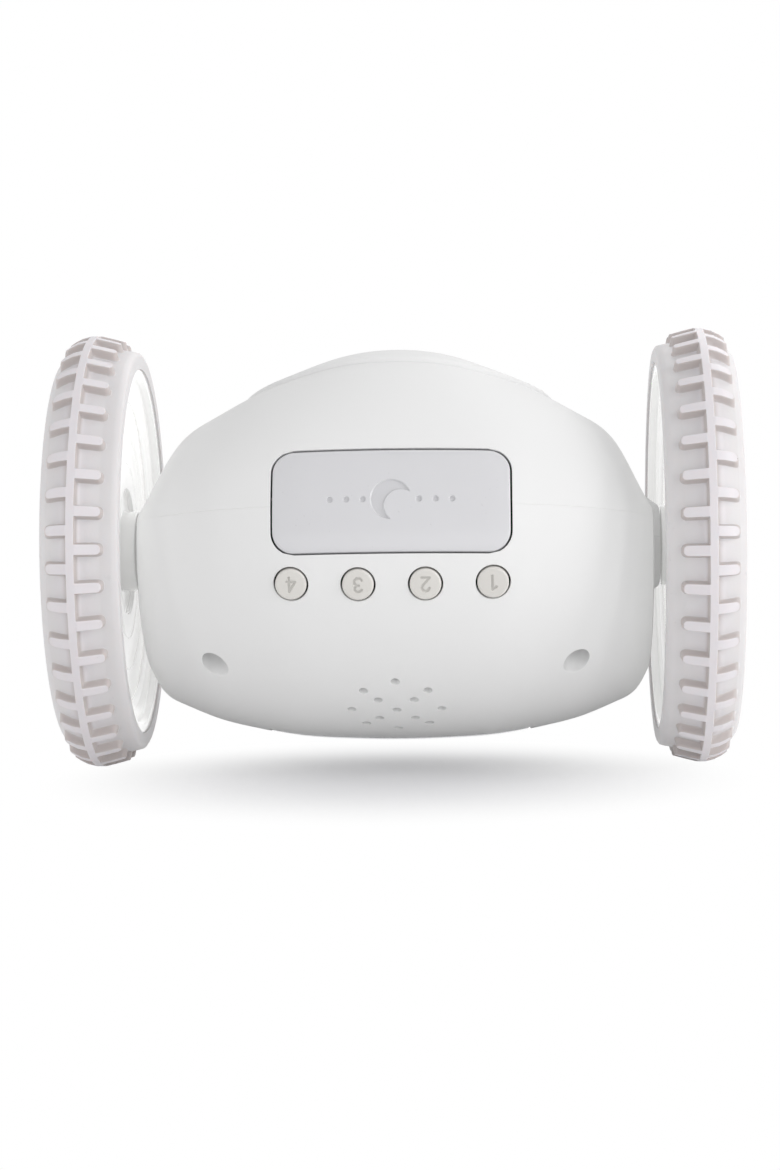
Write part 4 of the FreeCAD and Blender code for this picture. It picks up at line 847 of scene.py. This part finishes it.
def smoothFrom(piece):
    # the body's own smooth normals on every corner that lies on its surface
    guide = makeMesh("guide", reference, referenceFaces)
    orient(guide)
    guide.data.shade_smooth()
    change = piece.modifiers.new("normals", "DATA_TRANSFER")
    change.object = guide
    change.use_loop_data = True
    change.data_types_loops = {"CUSTOM_NORMAL"}
    change.loop_mapping = "POLYINTERP_NEAREST"
    change.use_max_distance = True
    change.max_distance = 0.00003   # corners deeper than this are walls of holes
    applied(piece)
    bpy.data.objects.remove(guide)


def housingPaint(g, tone):
    # painted shade, darker and cooler in the middle and just under the joint of the shells; painted
    # light in the screw wells and a painted highlight along the joint
    look = {"middleShade": rgb(0.668, 0.669, 0.696), "well": rgb(0.95, 0.95, 0.95),
            "joint": rgb(0.93, 0.93, 0.93), "shade": rgb(0.48, 0.48, 0.48),
            "coolTo": (0.020, 0.040), "jointTo": (0.036, 0.046), "shadeFrom": (-0.00026, -0.00018),
            "shadeTo": (-0.00008, 0.0), "jointAt": 0.00008, "jointHalf": (0.00006, 0.00014)}
    where, origin = g.place(), toFloor((0, 0, 0))
    axes = [(toFloor(v) - origin) * 1000 for v in ((0, 1, 0), (0, 0, 1))]
    up, out = (g.along(where, tuple(v)) - float(v.dot(origin)) for v in axes)
    side = g.size(g.part(where, 0))
    # painted shade: the middle of the housing takes a darker, cooler white
    tone = g.blend(g.step(side, *look["coolTo"]), look["middleShade"], tone)
    # painted shadow just below the joint of the shells, and a painted highlight along it
    seen = 1.0 - g.step(side, *look["jointTo"])
    under = g.step(out, *look["shadeFrom"]) * (1.0 - g.step(out, *look["shadeTo"]))
    tone = g.blend(under * seen, tone, look["shade"])
    joint = 1.0 - g.step(g.size(out - look["jointAt"]), *look["jointHalf"])
    tone = g.blend(joint * seen, tone, look["joint"])
    # painted light: the screw wells take an almost white tone
    for x, y in screwWell["places"][:2]:
        reach = ((side + x / 1000) ** 2 + (up - y / 1000) ** 2) ** 0.5
        edge = screwWell["radius"] / 1000
        tone = g.blend(1.0 - g.step(reach, edge - 0.00005, edge + 0.00002), tone, look["well"])
    return tone


housingWhite = moulded("housingGlossWhite", rgb(0.785, 0.783, 0.779), rough=0.09, coat=0.9,
                       cloud=0.012, paint=housingPaint)


def finishShell(shell, node):
    # the edges of its holes stay sharp
    shell.data.shade_smooth()
    shell.data.set_sharp_from_angle(angle=math.radians(38))
    smoothFrom(shell)
    return finishPiece(shell, "chassis", [housingWhite], [node], smooth=False)


def makeFrontShell():
    shell = bodyShell("frontShell", 0.0, math.pi)
    orient(shell)
    tools = [snoozeCutter(),
             cutter("pocket", facePocket, radius=0.15, depth=face["recess"], density=(65, 65))]
    shell = combine(shell, joined("frontCuts", tools), "DIFFERENCE")
    display = onFace(0, face["display"], face["windowCorner"])
    through = {"radius": 0.1, "depth": 12.0, "lift": face["recess"]}
    holes = [cutter("displayHole", display, density=(45, 33), **through)]
    for side in (-1, 1):
        holes.append(cutter("buttonHole", faceButtonHole(side), density=(15, 15), **through))
    shell = combine(shell, joined("displayCuts", holes), "DIFFERENCE")
    return finishShell(shell, "front_shell")


def makeRearShell():
    shell = bodyShell("rearShell", math.pi, 2 * math.pi)
    orient(shell)
    bosses = []
    for x, y in screwWell["places"]:
        foot = onBody([(x, y, 0)], (0, 0, -1), 0)[0][2]
        boss = underneath(x, y, screwWell["radius"] + screwWell["wall"])
        bosses.append(patch("boss", boss, even(11), even(11), [(0, 1.0), (0, -foot * 0.8)]))
    shell = combine(shell, joined("bosses", bosses), "UNION")
    tools = [snoozeCutter()]
    for x in setButton["xs"]:
        hole = Outline(setTop(x), setOutward, xAxis, (setButton["hole"],) * 2)
        tools.append(cutter("setHole", hole, radius=0.22, depth=6.0))
    for x, y in screwWell["places"]:
        well = underneath(x, y, screwWell["radius"])
        tools.append(cutter("well", well, radius=0.18, depth=1.0, density=(21, 21)))
        flatFloor(tools[-1], screwWell["top"])
    tools.append(patch("doorCutter", doorHole, even(61), even(61), batteryDoor["holeLevels"]))
    places = [(0.0, 0.0)]
    for radius, count, first in soundHoles["rings"]:
        for k in range(count):
            around = math.radians(first + 360 * k / count)
            places.append((radius * math.cos(around), radius * math.sin(around)))
    for x, y in places:
        hole = underneath(x, soundHoles["centreY"] + y, soundHoles["radius"])
        tools.append(cutter("soundHole", hole, radius=0.12, depth=5.0, density=(13, 13)))
    shell = combine(shell, joined("rearCuts", tools), "DIFFERENCE")
    return finishShell(shell, "rear_shell")


def flatFloor(tool, level):
    # carries the deep end of a well's tool to a flat floor at this height
    place = toFloor([(0, 0, level)])[0]
    out = toFloor([(0, 0, level + 1)])[0] - place
    out = Vector(out / np.linalg.norm(out))
    face = max(tool.data.polygons, key=lambda f: len(f.vertices))
    for index in face.vertices:
        vertex = tool.data.vertices[index]
        vertex.co += out * (Vector(place) - vertex.co).dot(out)


frontShell = makeFrontShell()
rearShell = makeRearShell()
print("housing:", len(frontShell.data.polygons), len(rearShell.data.polygons), "faces")


# ---- snooze bar

def softStep(distance, softness):
    # 1 well inside, 0 outside, smooth over the softness
    t = np.clip(0.5 - distance / (2 * softness), 0, 1)
    return t * t * (3 - 2 * t)


def moonAndPips(p, q, top):
    # a crescent between two rows of three dots, pressed in
    b = snoozeBar
    r, (across, down, size) = b["moonRadius"], b["bite"]
    disc = np.hypot(p, q) - r
    bite = np.hypot(p - r * across, q + r * down) - r * size
    distance = np.maximum(disc, -bite)
    for x in b["pipXs"]:
        distance = np.minimum(distance, np.hypot(np.abs(p) - x, q) - b["pipRadius"])
    return b["pressDepth"] * softStep(distance, b["wallSoftness"])


def makeSnoozeBar():
    # a fine grid under the marks, a coarse one beside them
    b = snoozeBar
    length, height = grown(b["half"], -b["edge"])
    fine, fineUp = (np.arange(-reach, reach + 0.01, b["grid"]) for reach in b["marks"])
    beside = np.linspace(b["marks"][0] + 0.3, length, 26)
    us = np.concatenate([-beside[::-1], fine, beside]) / length
    corner = height - b["corner"] + b["edge"]
    bow = corner + (height - corner) * np.sin(np.linspace(0, 1, 12) * math.pi / 2)
    mid = np.linspace(b["marks"][1] + 0.15, corner, 6)[:-1]
    vs = np.concatenate([-bow[::-1], -mid[::-1], fineUp, mid, bow]) / height
    levels = [(g, d + b["sunk"]) for g, d in edgeFillet(b["edge"])] + [(0, b["thickness"])]
    bar = patch("snoozeBar", snoozeOutline, us, vs, levels, moonAndPips, [barWhite, markShade])
    return finishPiece(bar, "snooze_bar", [barWhite], ["snooze_bar"], sharp=60)


snoozePiece = makeSnoozeBar()
print("snooze bar:", len(snoozePiece.data.polygons), "faces")


# ---- set buttons, numbered for somebody who reads the clock from its display side

strokes = {
    "1": [[(-0.22, 0.30), (0.06, 0.5), (0.06, -0.5)]],
    "2": [[(-0.27, 0.26), (-0.20, 0.42), (0.0, 0.5), (0.20, 0.42), (0.27, 0.24), (0.20, 0.06),
           (-0.28, -0.5), (0.29, -0.5)]],
    "3": [[(-0.25, 0.36), (-0.12, 0.48), (0.08, 0.5), (0.24, 0.38), (0.24, 0.18), (0.08, 0.05),
           (-0.06, 0.04)],
          [(0.08, 0.05), (0.26, -0.10), (0.27, -0.32), (0.10, -0.49), (-0.12, -0.48),
           (-0.27, -0.34)]],
    "4": [[(0.13, -0.5), (0.13, 0.5), (-0.30, -0.20), (0.31, -0.20)]],
}


def strokeDistance(p, q, digit):
    # from the edge of the digit's strokes, negative inside them
    best = np.full(p.shape, 1e9)
    for line in strokes[digit]:
        corners = np.array(line) * setButton["digitHeight"]
        for a, b in zip(corners[:-1], corners[1:]):
            d = b - a
            t = np.clip(((p - a[0]) * d[0] + (q - a[1]) * d[1]) / (d @ d), 0, 1)
            best = np.minimum(best, np.hypot(p - a[0] - t * d[0], q - a[1] - t * d[1]))
    return best - setButton["stroke"]


def makeSetButton(number, x, digit):
    b = setButton

    def press(p, q, top):
        # turned half way round, because the reader faces the display
        dome = b["dome"] * (p * p + q * q) / b["radius"] ** 2
        return dome + b["pressDepth"] * softStep(strokeDistance(-p, -q, digit), 0.07)

    name = "set_button_" + str(number)
    outline = Outline(setTop(x), setOutward, xAxis, (b["radius"],) * 2, bodied=False)
    levels = [(g, d - b["proud"] + b["settle"]) for g, d in edgeFillet(b["edge"], 5)]
    levels[0] = (levels[0][0], levels[0][1] - b["settle"])
    levels.append((0, b["length"]))
    button = patch("setButton" + str(number), outline, even(85), even(85), levels, press)
    for material in (creamTop, glyphGrey):
        button.data.materials.append(material)
    paintStrokes(button, outline, digit)
    return finishPiece(button, name, [creamTop], [name], sharp=50)


def paintStrokes(button, outline, digit):
    # the pressed digit takes the second material
    centre = np.array(outline.centre)
    origin = toFloor([centre])[0]
    middle = np.array([f.center for f in button.data.polygons]) - origin
    p, q, lift = (middle @ (toFloor([centre + np.array(way)])[0] - origin) * 1e6
                  for way in (outline.side, outline.up, outline.outward))
    inside = strokeDistance(-p, -q, digit) < -0.02
    for face, mark in zip(button.data.polygons, inside & (lift > 0)):
        face.material_index = int(mark)


for number, (x, digit) in enumerate(zip(setButton["xs"], "4321")):
    makeSetButton(number + 1, x, digit)
print("set buttons done")


# ---- face plate, lens, display and face buttons

def makeFace():
    # the plate that stands proud of the body, and the lens in its window
    plate = patch("facePlate", faceOutline, even(121), even(121),
                  [(g, d - face["proud"]) for g, d in edgeFillet(0.45, 5)] + [(0, face["recess"])])
    lens = onFace(0, grown(face["window"], face["gap"]), face["windowCorner"] + face["gap"])
    through = {"depth": 6.0, "lift": -face["proud"]}
    tools = [cutter("lensHole", lens, radius=0.12, density=(61, 41), **through)]
    for side in (-1, 1):
        tools.append(cutter("plateHole", faceButtonHole(side), radius=0.2, **through))
    plate = combine(plate, joined("plateCuts", tools), "DIFFERENCE")
    finishPiece(plate, "chassis", [faceWhite], ["face_plate"], sharp=30)
    levels = [(g, d - face["proud"]) for g, d in edgeFillet(0.15, 3)]
    levels.append((0, face["lensThickness"] - face["proud"]))
    pane = onFace(0, face["window"], face["windowCorner"])
    glass = patch("displayLens", pane, even(81), even(45), levels)
    finishPiece(glass, "chassis", [clearLens], ["display_window"], sharp=40)


def makeFaceButton(name, side, dotted):
    b = faceButton

    def press(p, q, top):
        # a ring, with a dot in it on one of the two
        reach = np.hypot(p, q)
        distance = np.abs(reach - b["ring"][0]) - b["ring"][1]
        if dotted:
            distance = np.minimum(distance, reach - b["dot"])
        return b["dome"] * (reach / b["radius"]) ** 2 + b["pressDepth"] * softStep(distance, 0.08)

    outline = Outline(faceTop(side * b["x"]), zAxis, xAxis, (b["radius"],) * 2, bodied=False)
    levels = [(g, d - b["proud"]) for g, d in edgeFillet(b["edge"], 5)]
    levels = [levels[0]] + [(g, d + b["settle"]) for g, d in levels[1:]]
    levels.append((0, b["length"] - b["proud"]))
    button = patch(name, outline, even(65), even(65), levels, press)
    finishPiece(button, name, [creamTop], [name], sharp=50)


makeFace()
makeFaceButton("alarm_button", -1, dotted=True)
makeFaceButton("wheels_button", 1, dotted=False)

display = {"digitHeight": 11.0, "digitWidth": 6.0, "bar": 1.25, "slant": 0.08, "lift": 0.03,
           "thickness": 0.04, "top": 30.8, "shift": -6.3, "pinch": 0.86, "space": 0.18,
           "text": (("7", -3.6), (":", 3.3), ("3", 8.2), ("0", 16.4))}
barsOf = {"7": "abc", "3": "abgcd", "0": "abcdef"}


def makeSegments():
    # the dark bars of 7:30
    d = display
    w, h, b = d["digitWidth"] / 2, d["digitHeight"] / 2, d["bar"] / 2
    ends = {"a": ((-w, h), (w, h)), "d": ((-w, -h), (w, -h)), "g": ((-w, 0), (w, 0)),
            "f": ((-w, h), (-w, 0)), "b": ((w, h), (w, 0)), "e": ((-w, 0), (-w, -h)),
            "c": ((w, 0), (w, -h))}
    points, faces = [], []

    def slab(outline, offset):
        # the reader's right is -x and the reader's up is -y
        start = len(points)
        for level in (d["top"] + d["lift"], d["top"] + d["lift"] + d["thickness"]):
            for px, py in outline:
                points.append((-(px + offset + py * d["slant"]), bodyC - py, level))
        n = len(outline)
        faces.append(list(range(start, start + n)))
        faces.append(list(range(start + n, start + 2 * n))[::-1])
        for k in range(n):
            faces.append([start + k, start + n + k, start + n + (k + 1) % n, start + (k + 1) % n])

    for sign, offset in d["text"]:
        offset += d["shift"]
        if sign == ":":
            for level in (-h / 2.4, h / 2.4):
                slab([(-b, level - b), (b, level - b), (b, level + b), (-b, level + b)], offset)
            continue
        for bar in barsOf[sign]:
            a, c = (Vector(end) for end in ends[bar])
            along = (c - a).normalized()
            across = Vector((-along.y, along.x)) * b * d["pinch"]
            a, c = a + along * d["space"], c - along * d["space"]
            inner = along * b
            slab([a, a + inner + across, c - inner + across, c, c - inner - across,
                  a + inner - across], offset)
    piece = makeMesh("displaySegments", np.array(points), faces)
    orient(piece)
    finishPiece(piece, "chassis", [inkBlack], smooth=False)


makeSegments()
print("face done")


# ---- battery door

def makeDoor():
    # a curved door with a ribbed thumb hollow at its back edge
    b = batteryDoor
    grip = Vector((0, bodyC + bodyForm["far"] + b["gripRadius"] - b["gripDepth"],
                   b["topZ"] - b["gripRadius"] / 2))

    def press(p, q, top):
        gap = b["gripRadius"] - np.linalg.norm(top - np.array(grip), axis=1)
        rise, pitch = b["ribs"]
        ribs = rise * np.clip(gap / 0.5, 0, 1) * (np.cos(top[:, 2] * 2 * math.pi / pitch) > 0)
        return np.clip(gap, 0, None) - ribs * (gap > 0)

    us = np.unique(np.concatenate([even(71), np.linspace(-0.22, 0.22, 61)]))
    vs = np.unique(np.concatenate([even(71), np.linspace(0.62, 1.0, 61)]))
    levels = edgeFillet(b["edge"]) + [(0, b["thickness"])]
    door = patch("batteryDoor", doorOutline, us, vs, levels, press)
    return finishPiece(door, "battery_door", [housingWhite], ["battery_door"],
                       sharp=50)


makeDoor()
print("battery door done")


# ---- wheels

wheel = {"rimStart": 53.2, "seat": 37.6, "rimWall": 1.7, "dish": 56.2, "dishThickness": 2.0,
         "recess": 0.9, "recessRadius": 13.0, "stub": 8.2, "stubStart": 53.8, "hub": 5.0,
         "bore": 1.5, "axleEnd": 61.8, "outer": 68.3, "turnedLines": (18.0, 24.5, 31.0)}
hubCap = {"gap": 0.1, "sunk": 0.4, "rise": 1.6, "thickness": 1.8, "screwHole": 2.5,
          "boss": [(60.1, 10.0, 0.3), (60.1, 5.1, 0.2), (61.9, 5.1, 0.1), (61.9, 2.5, 0.0)]}
tread = {"ridge": 61.65, "ridgeWidth": 1.8, "lugHeight": 1.8, "lugs": 37, "lugWidth": 2.3,
         "innerLength": 5.0, "outerLength": 4.3, "corner": 0.95, "seat": 37.6, "wall": (0.32, 0.50),
         "crown": ((-8.85, 2.4), (-8.4, 1.75), (-7.3, 1.45), (-5.4, 1.15), (-3.2, 0.55),
                   (-0.9, 0.0), (0.9, 0.0), (2.5, 0.4), (3.9, 1.1), (5.1, 1.9), (6.0, 2.7),
                   (6.65, 3.6)),
         "phase": {"left": -1.36, "right": 1.52}, "stagger": {"left": 0.5, "right": 0.0}}


def makeRim(hand, side):
    w = wheel
    # corners (x, r, arc) round the section, from the inner edge of the seat
    seat, wall, dish, bore = w["seat"], w["rimWall"], w["dish"], w["bore"]
    back = dish + w["dishThickness"]
    outline = [(w["rimStart"], seat - wall, 0.25), (w["rimStart"], seat, 0.2),
               (w["outer"] - wall / 2, seat, 0.3), (w["outer"], seat - wall / 2, 0.3),
               (w["outer"], seat - wall, 0.25), (back + wall, seat - wall, 0.6),
               (back, seat - 2.5 * wall, 0.6), (back, w["hub"], 0.3),
               (w["axleEnd"], w["hub"], 0.25), (w["axleEnd"], bore, 0.0),
               (w["stubStart"], bore, 0.0), (w["stubStart"], w["stub"], 0.3),
               (dish + w["recess"], w["stub"], 0.35),
               (dish + w["recess"], w["recessRadius"], 0.25), (dish, w["recessRadius"], 0.25)]
    for radius in w["turnedLines"]:
        outline += [(dish, radius - 0.16, 0.05), (dish + 0.14, radius, 0.05),
                    (dish, radius + 0.16, 0.05)]
    outline += [(dish - 0.3, seat - 3.9 * wall, 0.8), (dish - wall / 2, seat - 3 * wall, 0.8),
                (w["rimStart"] + wall, seat - wall, 0.5)]
    rim = lathe(hand + "Rim", roundedPath(outline), side)
    return finishPiece(rim, hand + "_wheel", [wheelDish], [hand + "_wheel_rim"],
                       sharp=35)


def makeCap(hand, side):
    # a shallow dome with a rim and a screw boss
    w, h = wheel, hubCap
    seat = w["seat"] - w["rimWall"] - h["gap"]
    crown, rise, thickness = w["outer"] - h["sunk"], h["rise"], h["thickness"]

    def dome(radius):
        return crown - rise * (radius / seat) ** 2

    floor = w["dish"] + w["dishThickness"] + w["rimWall"]
    inside = seat - thickness
    outline = [(dome(h["screwHole"]) - 0.3, h["screwHole"], 0.1)]
    outline += [(dome(r), r, 0.0) for r in np.linspace(2.9, seat - 0.7, 26)]
    outline += [(crown - rise, seat, 0.4), (floor, seat, 0.2), (floor, inside, 0.2),
                (dome(inside) - thickness, inside, 0.4)]
    outline += [(dome(r) - thickness, r, 0.0) for r in np.linspace(inside - 2, 10.0, 6)]
    cap = lathe(hand + "Cap", roundedPath(outline + h["boss"]), side)
    return finishPiece(cap, hand + "_wheel", [capWhite], [hand + "_hub_cap"],
                       sharp=40)


def makeTyre(hand, side):
    # a height field round the wheel: a crowned floor with the ridge and the lugs standing on it
    t = tread
    pitch = 2 * math.pi / t["lugs"]
    step = pitch * wheelRadius
    # mm from a lug's middle, closest at its walls, once for each side's row of lugs
    near = np.array([0.0, 0.3, 0.55, 0.74, 0.90, 1.02, 1.11, 1.20, 1.30, 1.42, 1.54, 1.76])
    around = np.concatenate([-near[:0:-1], near])
    local = np.sort(np.concatenate([around, step / 2 + around])) / step
    columns = (np.arange(t["lugs"])[:, None] + local[None, :]).ravel() * pitch
    base = wheelRadius - t["lugHeight"]
    halfRidge = t["ridgeWidth"] / 2
    lugStart = t["ridge"] - halfRidge - t["innerLength"]
    lugEnd = t["ridge"] + halfRidge + t["outerLength"]
    knots, falls = np.array(t["crown"]).T
    inner, outer = t["ridge"] + knots[0], t["ridge"] + knots[-1]
    # mm inward from the foot of a wall
    rim = np.array([-0.42, -0.30, -0.20, -0.12, -0.04, 0.06, 0.22, 0.45, 0.75, 1.05])
    xs = np.concatenate([lugStart + rim, lugEnd - rim, t["ridge"] - halfRidge - rim[:7],
                         t["ridge"] + halfRidge + rim[:7], t["ridge"] + knots,
                         [inner + 0.05, 57.4, 58.2, 59.0, 59.8, t["ridge"], 64.6, outer - 0.05]])
    xs = np.unique(np.round(xs, 2))
    xs = xs[(xs > inner + 0.01) & (xs < outer - 0.01)]
    theta, x = np.meshgrid(columns, xs)

    def lugDistance(start, end, offset):
        middle = (np.mod(theta / pitch - offset + 0.5, 1.0) - 0.5) * step
        centre, half = (start + end) / 2, (end - start) / 2
        dx = np.abs(x - centre) - half + t["corner"]
        dy = np.abs(middle) - t["lugWidth"] / 2 + t["corner"]
        outside = np.hypot(np.maximum(dx, 0), np.maximum(dy, 0))
        return outside + np.minimum(np.maximum(dx, dy), 0) - t["corner"]

    distance = np.minimum(lugDistance(lugStart, t["ridge"] + halfRidge, 0.0),
                          lugDistance(t["ridge"] - halfRidge, lugEnd, 0.5))
    distance = np.minimum(distance, np.abs(x - t["ridge"]) - halfRidge)
    start, width = t["wall"]
    rise = np.clip((start - distance) / width, 0, 1)
    rise = rise * rise * (3 - 2 * rise)
    low = base - np.interp(x, t["ridge"] + knots, falls)
    radius = low + (t["lugHeight"] - 0.002) * rise

    def wall(at, top):
        # down to the seat on the rim
        return [(at, t["seat"] + 0.02), (at, t["seat"] + 0.6), (at, top - 0.25), (at, top - 0.06)]

    first = wall(inner + 0.005, base - falls[0])
    last = wall(outer - 0.005, base - falls[-1])[::-1]
    sides = [[np.full_like(columns, v) for v in row] for row in zip(*first + last)]
    gx, gr = (np.array(walls[:len(first)] + list(field) + walls[len(first):])
              for walls, field in zip(sides, (x, radius)))
    turn = math.radians(t["phase"][hand]) + (columns[None, :] + t["stagger"][hand] * pitch)
    # angles run upward from the snooze side
    points = np.stack([gx * side, -gr * np.cos(turn), gr * np.sin(turn)], -1)
    faces = gridFaces(len(gx), len(columns), wrapRows=True, wrapColumns=True)
    tyre = makeMesh(hand + "Tyre", points.reshape(-1, 3), faces, rolling=True)
    orient(tyre)
    return finishPiece(tyre, hand + "_wheel", [tyreSoft], [hand + "_tyre"], sharp=75)


for make in (makeRim, makeCap, makeTyre):
    make("right", 1)
    make("left", -1)
print("wheels done")


# ---- finishes of the inner parts

inside = {
    maskBlack: ["lcd_shroud"], glassGreen: ["lcd_glass"], lightPanel: ["backlight_panel"],
    stripRubber: ["zebra_strips"], coneFilm: ["speaker_cone"], bushAcetal: ["axle_bushes"],
    boardGreen: ["display_board", "main_board", "set_button_board"], chipBlack: ["board_chips"],
    switchBlack: ["push_switches"], magnetDark: ["speaker_magnet", "motor_magnets"],
    trayWhite: ["battery_tray", "gearbox_covers", "right_gearbox_case", "left_gearbox_case",
                "motor_caps"],
    sleeveDark: ["battery_cells"], copper: ["right_motor_armature", "left_motor_armature"],
    steelBright: ["battery_springs", "battery_plates", "gear_pins", "quartz_crystal",
                  "right_axle", "left_axle", "right_wheel_screw", "left_wheel_screw"],
    steelDull: ["housing_screws", "board_screws", "motor_cans", "speaker_frame"],
    brass: ["right_motor_pinion", "left_motor_pinion"],
    gearAcetal: ["right_output_gear", "left_output_gear", "right_second_gear",
                 "left_second_gear", "right_first_gear", "left_first_gear"],
}
for material, names in inside.items():
    for name in names:
        node = nodes[name]
        if not node.material_slots:
            node.data.materials.append(None)
        for place in node.material_slots:
            place.material = material
print("inner parts dressed")


# ---- floor, light and camera

stage = {"floorSize": 6.0, "floorTone": rgb(0.56, 0.56, 0.575), "bounceTone": rgb(0.98, 0.98, 0.98),
         "glow": 0.20, "ambient": 0.69, "lampAim": (0, 0, 0.045),
         "shadow": {"y": -0.026, "across": 0.056, "along": 0.050, "from": 0.12, "to": 1.30}}
lamps = {
    "leftStrip": {"at": (-0.70, -0.60, 0.26), "size": (0.08, 0.90), "power": 0.55},
    "leftEdgeLamp": {"at": (-0.85, -0.10, 0.10), "size": (0.30, 0.50), "power": 1.25},
    "rightStrip": {"at": (0.72, -0.70, 0.20), "size": (0.10, 0.90), "power": 1.3},
    "rightLamp": {"at": (0.86, -0.28, 0.28), "size": (0.34, 0.90), "power": 4.1},
    "backLamp": {"at": (0.35, 0.60, 0.70), "size": (0.80, 0.50), "power": 2.0},
    "frontLamp": {"at": (0.10, -1.20, 0.0), "size": (1.60, 0.40), "power": 1.35}}


def seenDirectly(g):
    # one for what the camera sees itself, in a gloss or through clear plastic
    rays = [g.node("ShaderNodeLightPath", output=kind)
            for kind in ("Is Camera Ray", "Is Glossy Ray", "Is Transmission Ray")]
    return (rays[0] + rays[1] + rays[2]).limited()


def makeFloor():
    half = stage["floorSize"] / 2
    mesh = bpy.data.meshes.new("floor")
    corners = [(-half, -half, 0), (half, -half, 0), (half, half, 0), (-half, half, 0)]
    mesh.from_pydata(corners, [], [(0, 1, 2, 3)])
    floor = addObject("floor", mesh)
    g = Graph("floorPaper")
    where, shadow = g.place(), stage["shadow"]
    across = g.part(where, 0) / shadow["across"]
    along = (g.part(where, 1) - shadow["y"]) / shadow["along"]
    # painted light: outside an ellipse under the body the floor turns plain white, so its rendered
    # shadow shows only inside the ellipse
    away = g.step((across * across + along * along) ** 0.5, shadow["from"], shadow["to"])
    paper = g.node("ShaderNodeBsdfDiffuse", inputs={"Color": stage["floorTone"]})
    bounce = g.node("ShaderNodeBsdfDiffuse", inputs={"Color": stage["bounceTone"]})
    glow = g.node("ShaderNodeEmission", inputs={"Color": rgb(1, 1, 1), "Strength": stage["glow"]})
    white = g.node("ShaderNodeEmission", inputs={"Color": rgb(1, 1, 1), "Strength": 1.0})
    lit = g.node("ShaderNodeAddShader", inputs={0: paper, 1: glow})
    lit = g.node("ShaderNodeMixShader", inputs={0: away, 1: lit, 2: white})
    both = g.node("ShaderNodeMixShader", inputs={0: seenDirectly(g), 1: bounce, 2: lit})
    g.node("ShaderNodeOutputMaterial", inputs={"Surface": both})
    mesh.materials.append(g.material)


def makeWorld():
    world = bpy.data.worlds.new("studio")
    bpy.context.scene.world = world
    g = Graph(owner=world)
    level = g.node("ShaderNodeMapRange", inputs={
        "Value": seenDirectly(g), "To Min": stage["ambient"], "To Max": 1.0})
    light = g.node("ShaderNodeBackground", inputs={"Color": rgb(1, 1, 1), "Strength": level})
    g.node("ShaderNodeOutputWorld", inputs={"Surface": light})


def areaLamp(name, place, aim, size, power):
    data = bpy.data.lights.new(name, "AREA")
    data.shape = "RECTANGLE"
    data.size, data.size_y = size
    data.energy = power
    lamp = addObject(name, data)
    lamp.location = place
    lamp.rotation_euler = (Vector(aim) - Vector(place)).to_track_quat("-Z", "Y").to_euler()


def makeCamera():
    view = {"distance": 583.0, "yaw": 2.03, "elevation": 3.0, "roll": -0.74, "focal": 2822.0,
            "axleAt": (398.7, 548.2), "image": (780, 1170), "sensor": 36.0}
    yaw, rise, roll = (math.radians(view[k]) for k in ("yaw", "elevation", "roll"))
    ahead = Vector((-math.sin(yaw) * math.cos(rise), math.cos(yaw) * math.cos(rise),
                    -math.sin(rise)))
    level = Vector((math.cos(yaw), math.sin(yaw), 0))
    up = level.cross(ahead)
    right = level * math.cos(roll) + up * math.sin(roll)
    up = up * math.cos(roll) - level * math.sin(roll)
    axle = Vector((0, 0, wheelRadius))
    place = axle - ahead * view["distance"]
    dx = view["axleAt"][0] - view["image"][0] / 2
    dy = view["axleAt"][1] - view["image"][1] / 2
    aim = (ahead * view["focal"] - right * dx + up * dy).normalized()
    right = (right - aim * right.dot(aim)).normalized()
    up = right.cross(aim)
    data = bpy.data.cameras.new("camera")
    data.sensor_width = view["sensor"]
    data.lens = view["focal"] * view["sensor"] / view["image"][1]
    data.clip_start, data.clip_end = 0.01, 50.0
    camera = addObject("camera", data)
    turned = Matrix((right, up, -aim)).transposed().to_4x4()
    camera.matrix_world = Matrix.Translation(place / 1000) @ turned
    bpy.context.scene.camera = camera


makeFloor()
makeWorld()
for name, lamp in lamps.items():
    areaLamp(name, lamp["at"], stage["lampAim"], lamp["size"], lamp["power"])
makeCamera()
bpy.context.scene.view_settings.view_transform = "Standard"
print("stage set")
